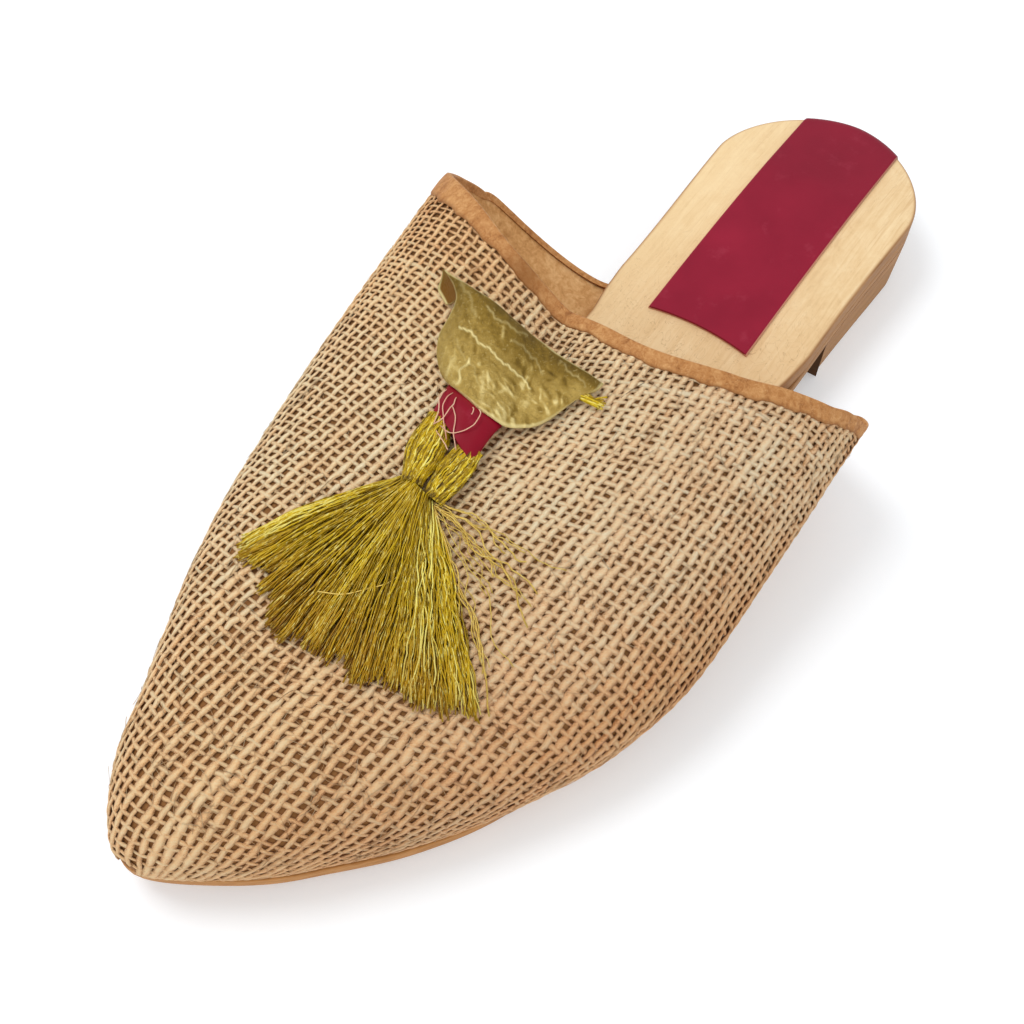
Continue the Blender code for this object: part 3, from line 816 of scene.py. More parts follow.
def threadFinish(name, dye, glint, hemColour=None):
    # lit threads flash in the glint's colour, and the hem may have one of its own
    look = Finish(name, 0.32, specularIorLevel=0.3)
    tone, fibre = look.number("tone"), look.vector("fibre")
    ply = look.noise(look.stretch(fibre, (1.6, 1.2, 1.2)), 1.0, 2.0)
    spark = look.span(look.noise(look.stretch(fibre, (0.8, 0.5, 0.5)), 1.0, 2.0), 0.56, 0.66)
    # painted shade in stretches, for the dark gaps between threads
    gap = look.span(look.noise(look.stretch(fibre, (0.45, 0.5, 0.5)), 1.0, 2.0), 0.5, 0.36)
    colour = look.ramp(tone + (ply - 0.5) * 0.6 - gap * 0.16, dye)
    if hemColour:
        colour = look.mix(look.forward(64.0, 84.0) * 0.5, colour, hemColour)
    colour = look.mix(spark * (tone + 0.1).clamp() * 0.8, colour, glint)
    look.feed(baseColor=colour, roughness=0.5 - spark * 0.22, normal=look.bump(ply, 0.16, 0.8))
    return look.material


def floorFinish():
    # these are the shader's own colour steps
    first, last = (0.765, 0.795, 0.825, 1), (0.785, 0.815, 0.845, 1)
    look = Finish("paleFloor", 0.9, specularIorLevel=0.1, emissionStrength=0.25,
                  emissionColor=(1, 1, 1, 1))
    cloud = look.noise(look.place((0.01, 0.01, 0.01)), 1.0, 2.0)
    stops = {"stops": [(0.0, first), (1.0, last)]}
    look.feed(baseColor=look.add("ShaderNodeValToRGB", stops, {0: cloud}))
    return look.material


finishes = {
    "jute": juteFinish(),
    "backing": backingFinish(),
    "board": boardFinish(),
    "sole": soleFinish(),
    "heel": heelFinish(),
    "binding": bindingFinish(),
    "strip": crimsonFinish("heelStripLeather", dyes["strip"], edgeLineAndFoldShade=True),
    "band": crimsonFinish("bandLeather", dyes["band"], edgeLineAndFoldShade=False),
    "leaf": leafFinish(),
    "tassel": threadFinish("tasselThread", dyes["tassel"], shade(255, 246, 150), shade(164, 104, 14)),
    "stray": threadFinish("looseThread", dyes["stray"], shade(255, 238, 170)),
    "pink": threadFinish("bandThread", dyes["pink"], shade(255, 226, 196)),
    "floor": floorFinish(),
}
print("finishes made")

# the woven jute: real yarns over a dark backing and a leather lining

weave = {
    "lengthWidth": (1.26, 1.40),    # width of the yarns that run heel to toe, at the collar and at the toe
    "crossWidth": (1.0, 0.84),
    "lengthWave": (0.08, 0.05),     # how far a yarn rises and sinks at its crossings
    "crossWave": (0.11, 0.13),
    "lengthThick": 0.64,
    "crossThick": 0.46,
    "slub": 0.22,                   # how much a yarn's width varies
    "wander": 0.11,                 # how far it strays, in shares of the pitch
    "sides": 5,
    "lean": 0.6,                    # painted shade: how much darker a yarn's flanks are painted than its top
    "steps": 4,                     # samples from one crossing to the next
    "collarTuck": 1.0,              # the yarns start this far under the binding
    "endGap": 0.15,                 # and stop this far from the sole
    "tipGap": 0.1,
    "shortest": 4,                  # samples in the shortest yarn that is made
    "baseArc": -45.0,               # the lengthwise yarn that stays straight
    "toeCount": 0.45,               # lengthwise yarns per millimetre at the toe
    "collarCount": 0.10,            # and how many more at the collar
    "crossPitch": 1.48,             # crosswise pitch at the middle station
    "crossOpening": 0.0062,         # and how fast it opens towards the toe
    "widestPitch": 2.3,
    "straightHalf": 8,              # the crosswise yarns run nearly straight this far from the middle
    # then they slope back: the slope, how much more there is by the collar, the arc
    # along the shoe where that ends and the length over which it fades
    "outerSweep": (0.22, 0.28, 42.0, 75.0),
    "innerSweep": (0.09, 0.15, 35.0, 40.0),
    "lengthNumbers": (-30, 95),     # more yarns than the cloth can hold: what falls outside is left out
    "crossNumbers": (-60, 95),
}


def crowding(p):
    # the lengthwise yarns stand closest on the outer top and open towards both sides
    return 0.79 + 0.21 / np.cosh((p + 20) / 30) ** 2 - 0.1 * ease((p - 5) / 25)


def crossSpacing(q):
    # the pitch of the crosswise yarns
    return np.clip(weave["crossPitch"] + weave["crossOpening"] * q, weave["crossPitch"], weave["widestPitch"])


# how many yarns lie between the middle and each arc
arcs = np.arange(-160, 160, 0.5)
arcCounts = np.cumsum(0.5 * crowding(arcs))
baseCount = np.interp(weave["baseArc"], arcs, arcCounts)
runs = np.arange(-120, 220, 0.25)
crossCounts = np.cumsum(0.25 / crossSpacing(runs))
crossCounts -= np.interp(0, runs, crossCounts)


def countScale(q):
    # lengthwise yarns per millimetre
    return weave["toeCount"] + weave["collarCount"] * ease((90 - q) / 105)


def sweepBack(p, q):
    # the crosswise yarns bend back to follow the collar at both sides, and low on the
    # outer side they level out again
    flat = weave["straightHalf"]
    ramp = np.sqrt(p * p + flat * flat) - flat - 0.009 * np.clip(-p - 32, 0, 40) ** 2
    base, more, end, fade = np.where(
        (p < 0)[..., None], weave["outerSweep"], weave["innerSweep"]).transpose(
        (p.ndim,) + tuple(range(p.ndim)))
    return ramp * (base + more * ease((end - q) / fade))


def unweave(a, b):
    # from yarn numbers to the cloth's arcs
    q = np.interp(b, crossCounts, runs)
    p = np.zeros_like(q)
    straight = q.copy()
    rounds = 24
    for _ in range(rounds):
        p = np.interp(a / countScale(q) + baseCount, arcCounts, arcs)
        q = 0.4 * q + 0.6 * (straight - sweepBack(p, q))
    return p, q


def yarnToneAndShade(count, length, height, station, around):
    # lighter and darker yarns at random, with painted light where a yarn rides over a crossing and painted
    # shade where it sinks, and painted shade beside the collar, most of all at the throat
    tone = dice.normal(0.5, 0.09, (count, 1)) + wavy(count, length, 9, 0.07)
    # the height term paints light on the tops of the crossings and shade where the yarn sinks
    tone = tone + wavy(count, length, 45, 0.1) + 0.06 * height
    # painted shade beside the collar, where the yarns gather under it
    beside = ease((15 - station + collarStation(around)) / 11)
    return tone - (0.05 + 0.13 * ease((around - 0.44) / 0.06)) * beside


def yarnWidth(kind, spacing, slub, p, station):
    # yarns fill their pitch, less by the collar's inner end and more on the outer side
    toeward = ease((station - 165) / 60)
    collarWidth, toeWidth = weave[kind + "Width"]
    width = collarWidth * (1 - toeward) + toeWidth * toeward
    opened = ease((p - 18) / 22) * ease((138 - station) / 22)
    fuller = ease((-10 - p) / 25) * ease((240 - station) / 40)
    return width * (spacing / 1.85) ** 0.6 * slub * (1 - 0.16 * opened + 0.24 * fuller)


def yarnRuns(lengthwise):
    # every yarn that runs one way, with its number
    ownNumbers, otherNumbers = weave["lengthNumbers"], weave["crossNumbers"]
    if not lengthwise:
        ownNumbers, otherNumbers = otherNumbers, ownNumbers
    numbers, steps = np.arange(*ownNumbers), np.arange(*otherNumbers, 1 / weave["steps"])
    size = len(numbers), len(steps)
    number = numbers[:, None] + (wavy(*size, 16, weave["wander"]) + wavy(*size, 52, 0.05))
    travel = np.broadcast_to(steps, number.shape)
    p, q = unweave(number, travel) if lengthwise else unweave(travel, number)
    station = readGrid(cloth["station"], cloth["p"], cloth["q"], p, q)
    around = clothAround(p, station)
    low, high = clothEnds(station)
    valid = (p > low + weave["endGap"]) & (p < high - weave["endGap"])
    valid &= (q > drape["firstArc"] + 1) & (q < drape["lastArc"] - 1)
    valid &= station > collarStation(around) + weave["collarTuck"]
    valid &= station < cloth["rows"][-1] - weave["tipGap"]
    # over one neighbour and under the next, and the other way round on the next yarn
    height = np.cos(math.pi * (travel + numbers[:, None])) * (1 if lengthwise else -1)
    slub = 1 + wavy(*size, 30, weave["slub"]) + 0.12 * dice.normal(size=(size[0], 1))
    slub = np.maximum(slub + 0.03 * height, 0.45)
    spacing = 1 / np.clip(countScale(q), 0.4, 0.7) if lengthwise else crossSpacing(q)
    kind = "length" if lengthwise else "cross"
    width = yarnWidth(kind, spacing, slub, p, station)
    tone = yarnToneAndShade(*size, height, station, around)
    toeward = ease((station - 165) / 60)
    wave = weave[kind + "Wave"][0] * (1 - toeward) + weave[kind + "Wave"][1] * toeward
    thick = weave[kind + "Thick"]
    deeper = 0 if lengthwise else 0.03
    made = []
    for k in range(len(numbers)):
        # the stretches of this yarn that lie on the upper
        marks = np.flatnonzero(np.diff(np.concatenate([[0], valid[k].astype(int), [0]])))
        for first, last in zip(marks[::2], marks[1::2]):
            if last - first < weave["shortest"]:
                continue
            part = k, slice(first, last)
            # at the toe's very tip the surface has no sound normal, so it is taken just before
            normal = clothNormal(p[part], np.minimum(station[part], cloth["rows"][-1] - 0.8))
            centre = upperPoint(around[part], station[part], 0.0)
            # low on both sides the yarns stand off the wall a little
            edge = np.minimum(around[part], 1 - around[part])
            under = ease((0.17 - edge) / 0.08) * ease((190 - station[part]) / 30)
            rise = (wave * height)[part] - drape["depth"] + 0.7 * under - deeper
            made.append((numbers[k], tubeRun(
                centre + rise[:, None] * normal, normal, 0.5 * width[part],
                0.5 * thick * slub[part] ** 0.5, weave["sides"], tone[part], lean=weave["lean"])))
    return made


for way, label in ((True, "lengthwise"), (False, "crosswise")):
    made = yarnRuns(way)
    for half in (0, 1):
        chosen = [run for number, run in made if number % 2 == half]
        piece = makeThreads(f"jute_{label}_{'ab'[half]}", chosen, finishes["jute"])
        print(piece.name, len(piece.data.polygons) * 2, "triangles")


# fine fibres that have worked loose and lie over the yarns
fibres = {
    "count": 1300,
    "first": 84,               # the stations between which they are strewn
    "last": 264,
    "long": (1.8, 5.5),
    "thick": (0.04, 0.075),
    "lengthwise": 0.55,        # the share that runs heel to toe
    "soleGap": 1,              # none comes closer than this to the sole
    "collarGap": 3.5,
    "toeEnd": 256,
}


def makeFibres():
    count = fibres["count"]
    first, last = fibres["first"], fibres["last"]
    station = first + (last - first) * dice.uniform(0, 1, (count, 1)) ** 0.85
    low, high = clothEnds(station)
    p = low + (high - low) * dice.uniform(0.03, 0.97, (count, 1))
    turn = np.where(dice.uniform(size=(count, 1)) < fibres["lengthwise"], 0.0, 0.5 * math.pi)
    turn = turn + dice.normal(0, 0.35, (count, 1))
    length = dice.uniform(*fibres["long"], (count, 1))
    share = np.linspace(0, 1, 5)[None]
    bend = dice.normal(0, 0.9, (count, 1)) * share**2 * length * 0.25
    along = share * length * np.where(dice.uniform(size=(count, 1)) < 0.5, -1, 1)
    p = p + along * np.sin(turn) + bend * np.cos(turn)
    station = station + along * np.cos(turn) - bend * np.sin(turn)
    low, high = clothEnds(station)
    standing = dice.uniform(0, 1, (count, 1)) ** 9
    lift = -0.12 + 0.1 * np.sin(math.pi * share) * dice.uniform(0.2, 1, (count, 1))
    lift = lift + 1.1 * standing * share**1.5
    gap = fibres["soleGap"]
    keep = ((p > low + gap) & (p < high - gap) & (station < fibres["toeEnd"])).all(1)
    p, station, lift = p[keep], station[keep], lift[keep]
    keep = (station > collarStation(clothAround(p, station)) + fibres["collarGap"]).all(1)
    p, station, lift = p[keep], station[keep], lift[keep]
    centre, up = clothPoint(p, station, lift), clothNormal(p, station)
    tone = dice.normal(0.72, 0.22, len(p))
    size = dice.uniform(*fibres["thick"], len(p))
    made = [tubeRun(centre[k], up[k], size[k], size[k], 3, tone[k]) for k in range(len(p))]
    makeThreads("jute_fibres", made, finishes["jute"])
    print("loose fibres:", len(made))


makeFibres()


def makeBacking():
    # the points stand a little closer low at both sides, and crowd towards the toe
    low, high = 0.16, 0.84
    around = np.concatenate([np.linspace(0, low, 22)[:-1], np.linspace(low, high, 84),
                             np.linspace(high, 1, 22)[1:]])
    depth = 1 - (1 - np.linspace(0, 1, 84)) ** 1.8
    start = collarStation(around) + 0.6

    def face(inset, thin):
        station = start[None] + (shoe["length"] - inset - 0.01 - start[None]) * depth[:, None]
        near = 1 - ease((station - start[None]) / 8)
        return upperPoint(around[None], station, inset - thin * near)

    outer, inner = face(0.8, 0.0), face(shoe["wall"], shoe["edgeThin"])
    points, faces = thinBody(outer, inner)
    # the leather lining shows only on the inner face
    mark = np.concatenate([np.zeros(outer[..., 0].size), np.ones(inner[..., 0].size)])
    makePiece("upper_lining", points, faces, finishes["backing"], ("upper",),
              {"inner": mark}, sharp=60)


makeBacking()
print("backing and lining made")

# the collar's folded leather

binding = {
    "lines": 460,
    # share round the collar and width of the outer flap
    "reach": [(0, 2.4), (0.12, 3.0), (0.25, 3.1), (0.36, 3.0), (0.45, 2.7), (0.52, 2.0), (0.6, 3.6),
              (0.7, 4.9), (0.82, 4.6), (0.92, 3.2), (1, 2.4)],
    "insideReach": 2.3,
    "skin": 0.36,          # its outer face over the jute
    "insideSkin": 0.25,
    "throat": 0.515,       # where the fold is gathered
    "tab": 0.529,          # and where shade is painted on it, as a small dark patch
    "firstAround": 0.012,
    "lastAround": 0.994,
}


def collarPath(around):
    # the collar's edge as arcs and stations
    station = collarStation(around)
    p = np.zeros(len(around))
    for k, s in enumerate(station):
        row = readGrid(cloth["around"], cloth["rows"], cloth["p"], np.full(len(cloth["p"]), s), cloth["p"])
        p[k] = np.interp(around[k], row + np.arange(len(row)) * 1e-9, cloth["p"])
    return p, station


def makeBinding():
    around = np.linspace(binding["firstAround"], binding["lastAround"], binding["lines"])
    p, station = collarPath(around)
    edge = clothPoint(p, station)
    stepP, stepS = -np.gradient(station), np.gradient(p)
    stepP = stepP / np.hypot(stepP, stepS)
    # the flap turns along the shoe where the collar comes down to the sole
    near = np.minimum(around, 1 - around)
    stepP = stepP * ease((near - 0.02) / 0.10)
    stepS = np.sqrt(1 - stepP**2)
    slim = 0.2 + 0.8 * ease((near - 0.01) / 0.36)
    length = pathLength(edge)
    gather = bell(around, binding["throat"], 0.03)
    reach = readCurve(binding["reach"], 1, around) + wavy(1, len(around), 24, 0.28)[0] + 0.9 * gather
    lump = wavy(1, len(around), 50, 0.07)[0]
    skin, wall = binding["skin"], shoe["wall"]
    # the fold's section from the outer flap's edge over the top to the inner one's and back:
    # share of the flap's width, height and whether it bulges there
    loop = [("out", a, b, c) for a, b, c in (
        (1.0, -0.3, 0), (1.01, -0.1, 0.6), (0.99, 0.06, 1), (0.9, 0.16, 1), (0.72, 0.27, 1),
        (0.5, 0.33, 1), (0.3, 0.35, 1), (0.12, 0.36, 1))]
    loop += [("round", turn, 0, 1) for turn in np.radians([70, 50, 30, 10, -10, -30, -50, -70])]
    loop += [("in", a, b, c) for a, b, c in (
        (0.0, 0, 1), (0.3, 0, 1), (0.7, 0, 1), (0.97, 0, 1), (1.0, 0.3, 1), (0.6, 0.15, 0), (0.0, 0.2, 0))]
    loop += [("out", 0.4, -0.3, 0)]
    lowEnd, highEnd = clothEnds(station)
    lowEnd, highEnd = lowEnd + 0.4, highEnd - 0.4
    rings, flow, rim = [], [], []
    for k, (part, a, b, c) in enumerate(loop):
        if part == "out":
            travel = a * reach
            lift = b * (slim if c == 1 else 1) + (lump * (0.4 + a) + 0.3 * gather * (1 - a)) * c
        elif part == "in":
            travel = a * binding["insideReach"] * (0.5 + 0.5 * slim)
            inner = wall - shoe["edgeThin"] * (1 - ease(travel / 8))
            lift = b - inner - binding["insideSkin"] * slim if c else b - inner
        else:
            top, deep = skin * slim, wall - shoe["edgeThin"] + binding["insideSkin"] * slim
            travel = -0.5 * math.cos(a) * (0.5 + 0.5 * slim)
            lift = 0.5 * (top - deep) + 0.5 * (top + deep) * math.sin(a)
        rings.append(clothPoint(np.clip(p + stepP * travel, lowEnd, highEnd), station + stepS * travel, lift))
        flow.append(np.stack([length * 0.5, np.full(len(around), k * 0.12), 0 * length], -1))
        # the finish darkens the flap's edge and lightens one line along the fold
        crest = -1.0 if part == "round" and abs(a - math.radians(30)) < 0.1 else 0.0
        rim.append(np.full(len(around), {"out": abs(a), "round": crest, "in": 0.2}[part]))
    rings, flow, rim = (np.stack(v, 1) for v in (rings, flow, rim))
    # where painted shade lies on the fold at the throat
    tab = np.repeat(bell(around, binding["tab"], 0.018), rings.shape[1])
    count = rings.shape[1]
    faces = gridFaces(len(around), count, closed=True)
    faces += [tuple(range(count)), tuple(range(len(around) * count - 1, (len(around) - 1) * count - 1, -1))]
    makePiece("collar_fold", rings, faces, finishes["binding"], ("collar_binding",),
              {"flow": flow, "edge": rim, "tab": tab}, sharp=70)


makeBinding()
print("collar made")

# sole, footbed and heel
board = {
    "first": 0.12,         # the station of the first line, a hair inside the heel's round
    "edgeRound": 0.7,
    "lines": 150,
    "columns": 18,
    "toeGap": 3.2,         # how far it stops short of the sole's tip
    # station and how far its edge is drawn in, where the upper passes
    "inset": [(80, 0), (88, 0.9), (97, 2.4), (264, 2.4)],
}

sole = {
    "edgeRound": 0.35,
    "toeGap": 0.06,
    # station and how far the outsole stands out there
    "lip": [(0, 0), (195, 0), (211, 0.6), (228, 1.2), (248, 1.0), (258, 0.5), (264, 0.3)],
}


def planOutline(first, last, count, inset):
    # both sides of the sole's plan drawn in by inset, and the way inwards at each point
    t = np.linspace(0, 1, count)
    eased = 0.5 - 0.5 * np.cos(math.pi * t)
    station = first + (last - first) * (0.3 * t + 0.7 * eased)
    half = np.maximum(soleHalf(station) - inset(station), 0.25)
    middle = soleMiddle(station)
    right, left = np.stack([middle + half, station], -1), np.stack([middle - half, station], -1)
    ring = np.concatenate([right, left[::-1]])
    before, after = np.roll(ring, 1, 0), np.roll(ring, -1, 0)
    way = unit(after - before)
    inward = np.stack([-way[:, 1], way[:, 0]], -1)
    centre = ring.mean(0)
    if ((centre - ring) * inward).sum() < 0:
        inward = -inward
    return ring, inward


def slab(name, last, inset, low, high, radius, finish, node, lip=0.0):
    # a plate in the sole's plan with a rounded top edge, between two heights
    count, columns = board["lines"], board["columns"]
    ring, inward = planOutline(board["first"], last, count, inset)
    # from the lower edge to the top: how far drawn in, which height it is measured from, how far
    levels = [(0.35, "low", 0.0), (0.0, "low", 0.35), (0.0, "low", 1.4), (0.0, "high", radius + 0.4)]
    levels += [(radius * (1 - math.cos(a)), "high", radius * (1 - math.sin(a)))
               for a in np.radians([0, 20, 40, 60, 78, 90])]
    levels.append((radius + 0.5, "high", 0.0))
    rows, top = [], []
    for k, (draw, base, offset) in enumerate(levels):
        flat = ring + inward * (draw - lip * readCurve(sole["lip"], 1, ring[:, 1]))[:, None]
        if base == "low":
            z = low(flat[:, 1]) + offset
        else:
            z = high(flat[:, 1]) - offset
        rows.append(world(flat[:, 0], flat[:, 1], z))
        top.append(np.full(len(ring), np.clip((k - 3) / (len(levels) - 4), 0, 1)))
    shell = np.stack(rows)
    length = len(ring)
    faces = gridFaces(len(rows), length, closed=True)
    points = [shell.reshape(-1, 3)]
    marks = [np.concatenate(top)]
    start = len(rows) * length

    def cover(row, level, mark, flip):
        # fills the plan between the outline's two sides
        nonlocal start
        right, left = row[:count], row[count:][::-1]
        base = level * length
        share = np.linspace(0, 1, columns + 2)[1:-1]
        inner = right[:, None] + (left - right)[:, None] * share[None, :, None]
        points.append(inner.reshape(-1, 3))
        marks.append(np.full(inner[..., 0].size, mark))

        def index(i, j):
            if j == 0:
                return base + i
            if j == columns + 1:
                return base + length - 1 - i
            return start + i * columns + j - 1

        for i in range(count - 1):
            for j in range(columns + 1):
                face = (index(i, j), index(i + 1, j), index(i + 1, j + 1), index(i, j + 1))
                faces.append(face[::-1] if flip else face)
        start += count * columns

    cover(shell[-1], len(rows) - 1, 1.0, False)
    cover(shell[0], 0, 0.0, True)
    makePiece(name, np.concatenate(points), faces, finish, (node,),
              {"top": np.concatenate(marks)}, sharp=50)


def boardInset(station):
    return readCurve(board["inset"], 1, station)


def noInset(station):
    return 0 * station


def outsoleTop(station):
    return soleBottom(station) + shoe["outsole"] + 0.02


slab("footbed_board", shoe["soleTip"] - board["toeGap"], boardInset, outsoleTop, footbedTop,
     board["edgeRound"], finishes["board"], "footbed")
slab("outsole_leather", shoe["soleTip"] - sole["toeGap"], noInset, soleBottom, outsoleTop,
     sole["edgeRound"], finishes["sole"], "outsole", lip=1.0)


def makeHeel():
    count = 70
    ring, inward = planOutline(board["first"], shoe["breast"], count, noInset)
    rows, mark = [], []
    shares = [0.0, 0.02, 0.06, 0.2, 0.4, 0.6, 0.8, 1.0]
    for share in shares:
        high = soleBottom(ring[:, 1]) - 0.02
        # it tapers towards the floor, with a small round there; its breast stays square
        draw = shoe["heelTaper"] * (1 - share) + 0.4 * (1 - min(share / 0.02, 1))
        fade = ease((shoe["breast"] - ring[:, 1]) / 4)[:, None]
        flat = ring + inward * draw * np.stack([fade[:, 0] * 0 + 1, fade[:, 0]], -1)
        rows.append(world(flat[:, 0], flat[:, 1], high * share))
        # the breast face is marked so that its finish paints shade on it
        mark.append(ease((ring[:, 1] - shoe["breast"] + 1.0) / 1.0))
    shell = np.stack(rows)
    length = len(ring)
    faces = gridFaces(len(rows), length, closed=True)
    for base, flip in (((len(rows) - 1) * length, False), (0, True)):
        for i in range(count - 1):
            face = (base + i, base + i + 1, base + length - 2 - i, base + length - 1 - i)
            faces.append(face[::-1] if flip else face)
    makePiece("heel_stack", shell, faces, finishes["heel"], ("heel_block",),
              {"breast": np.concatenate(mark)}, sharp=40)


makeHeel()
print("sole, footbed and heel made")

# the crimson strip on the heel seat

strip = {
    "front": 87.5,
    "bow": 1.5,            # how far its front edge curves in at the middle
    "half": 14.0,
    "thick": 0.9,
    "clear": 0.1,          # over the footbed
    "bend": 2.4,           # radius of its fold over the heel
    "drop": 6.0,           # how far down the back it goes
    "columns": 60,
    "edgeRound": 0.35,
}


def heelEdge(x):
    share = (1 - (np.abs(x) / shoe["heelRadius"]) ** shoe["heelRound"]) ** (1 / shoe["heelRound"])
    return shoe["heelRadius"] * (1 - share)


def makeStrip():
    half = strip["half"]
    inner = np.linspace(0.05, 0.95, strip["columns"])
    share = np.concatenate([[0, 0.004, 0.012, 0.03], inner, [0.97, 0.988, 0.996, 1]])
    x = -half + 2 * half * share
    front = strip["front"] - strip["bow"] * (1 - (x / half) ** 2)
    bend = strip["bend"]

    def face(lift):
        back = heelEdge(x) - 0.3
        rows = []
        for t in np.linspace(0, 1, 90):
            s = front + (back + bend - front) * t
            rows.append(world(x, s, footbedTop(s) + lift))
        for turn in np.radians(np.linspace(12, 90, 8)):
            s = back + bend - (bend + lift) * math.sin(turn)
            z = footbedTop(0) - bend + (bend + lift) * math.cos(turn)
            rows.append(world(x, s, z))
        for t in np.linspace(0.2, 1, 6):
            rows.append(world(x, back - lift, footbedTop(0) - bend - (strip["drop"] - bend) * t))
        return np.stack(rows)

    low, high = face(strip["clear"]), face(strip["clear"] + strip["thick"])
    # the edges of the leather are rounded off
    edge = np.minimum(share, 1 - share) * 2 * half
    rounded = np.sqrt(np.clip(1 - (1 - np.clip(edge / strip["edgeRound"], 0, 1)) ** 2, 0, 1))
    body = low + (high - low) * (0.25 + 0.75 * rounded)[None, :, None]
    points, faces = thinBody(body, low)
    rows = body.shape[0]
    edgeMark = np.broadcast_to(1 - np.clip(edge / 0.55, 0, 1), (rows, len(x)))
    # the fold over the heel's back is marked for painted shade
    fold = np.broadcast_to(bell(np.arange(rows), 96, 5)[:, None], (rows, len(x)))
    makePiece("heel_strip_leather", points, faces, finishes["strip"], ("heel_strip",),
              {"edge": np.concatenate([edgeMark.ravel(), np.ones(edgeMark.size)]),
               "fold": np.concatenate([fold.ravel(), fold.ravel()])}, sharp=60)


makeStrip()
print("heel strip made")

# the ornament: leaf, sleeve and tassel

# x, station and lift along each edge of the leaf
leafEdges = {
    "upper": [(-36, 138.5, 4.8), (-32.5, 139, 4.8), (-28, 139.3, 4.8), (-24.5, 139.4, 4.7), (-19, 140, 4.5),
              (-10.5, 140.2, 4.2), (-4.2, 141.7, 3.6), (1.4, 142.4, 2.8), (5.7, 142.8, 1.8)],
    "left": [(-36, 138.5, 4.8), (-33.2, 139.8, 4.3), (-31, 142.2, 3.3), (-30.5, 145, 2.4),
             (-30.3, 149, 1.6), (-28.7, 152.7, 1.4), (-25.5, 156, 1.4), (-22.8, 157.5, 1.6)],
    "lower": [(-22.8, 157.5, 1.6), (-19.2, 159.1, 3.5), (-15.2, 160.2, 4.4), (-10.4, 161, 4.5),
              (-6.4, 160.8, 3.4), (-3.8, 159.3, 2.1), (-1.4, 157.3, 1.6), (0.5, 154.3, 1.5),
              (1.8, 150.6, 1.5), (3.2, 147, 1.6)],
    "right": [(5.7, 142.8, 1.8), (5.3, 144.4, 1.6), (3.2, 147, 1.6)],
    "tab": [(-38.8, 139.8, 1.2), (-37, 141.6, 0.8), (-34.7, 142.9, 0.6), (-32, 144.4, 0.6)],
}

# the raised veins and scratches: how strong and how wide each is, then x and station along it
leafLines = [
    (1.0, 0.24, [(-26, 148), (-24, 148.1), (-21, 149), (-19, 149.4), (-16.5, 149.6), (-14, 150.3),
                 (-10.5, 150), (-7, 151)]),
    (0.9, 0.22, [(-20, 153), (-20, 156), (-19, 159)]),
    (0.35, 0.25, [(-25.5, 150.5), (-23, 152.5), (-21, 153.5), (-18.5, 154.5), (-15, 157)]),
    (0.45, 0.2, [(-27, 140.6), (-24, 141)]),
    (0.5, 0.25, [(-23.5, 143), (-20, 143.6), (-17, 143.4), (-14, 142.4)]),
    (0.4, 0.25, [(-3.5, 144), (0, 144.8), (3, 145.4)]),
    (0.4, 0.3, [(-15.5, 145.2), (-9.5, 145.2), (-6.5, 147)]),
    (0.35, 0.35, [(-32.5, 140), (-28.5, 142.2), (-24, 145)]),
]

leaf = {
    "thick": 0.6,
    "columns": 150,
    "rows": 92,
    "tabColumns": 8,
    "tabEnd": 0.30,        # share of the left edge beside the folded tab
    "dents": 640,
    "deepest": 1.6,        # where overlapping dents stop adding up
    "dentDepth": 0.11,
    "veinHeight": 0.12,
    "dome": 0.5,           # how far its middle bows up
    "clear": 1.0,          # least height over the jute
}


def edgeCurve(name, share):
    # points along one edge of the leaf, in shares of its length
    points = np.array(leafEdges[name], float)
    places = overPlan(points[:, 0], points[:, 1], points[:, 2])
    length = pathLength(places)
    rows = np.column_stack([length / length[-1], places])
    return np.stack([readCurve(rows, k, share) for k in (1, 2, 3)], -1)


def lineMark(x, station, points, width):
    # 1 on a line through the points, falling to 0 beside it
    near = np.full(x.shape, 99.0)
    for (x0, s0), (x1, s1) in zip(points, points[1:]):
        long = math.hypot(x1 - x0, s1 - s0)
        t = np.clip(((x - x0) * (x1 - x0) + (station - s0) * (s1 - s0)) / long**2, 0, 1)
        near = np.minimum(near, np.hypot(x - x0 - t * (x1 - x0), station - s0 - t * (s1 - s0)))
    return bell(near, 0, width)


def hammerDents(x, station):
    # long shallow blows that lie much the same way, strongest in the leaf's middle and front
    dents = np.zeros(x.shape)
    for _ in range(leaf["dents"]):
        middleX, middleS = dice.uniform(-36, 6), dice.uniform(138, 162)
        long, short, turn = dice.uniform(0.5, 2.2), dice.uniform(0.22, 0.5), dice.normal(0.7, 0.4)
        dx, ds = x - middleX, station - middleS
        f, g = dx * math.cos(turn) + ds * math.sin(turn), ds * math.cos(turn) - dx * math.sin(turn)
        strength = 0.45 + 0.75 * float(ease((middleX + 24) / 20) * ease((middleS - 142) / 8))
        dents += dice.normal(0, 1) * strength * np.exp(-((f / long) ** 2) - (g / short) ** 2)
    deepest = leaf["deepest"]
    return np.clip(dents, -deepest, deepest) / deepest


def leafVeins(x, station):
    # the raised lines, each a little crooked
    bentX = x + 0.25 * np.sin(station * 1.7) + 0.15 * np.sin(x * 2.1)
    bentS = station + 0.22 * np.sin(x * 1.3) + 0.12 * np.sin(x * 3.7)
    vein = sum(size * lineMark(bentX, bentS, points, width) for size, width, points in leafLines)
    return np.clip(vein, 0, 1)


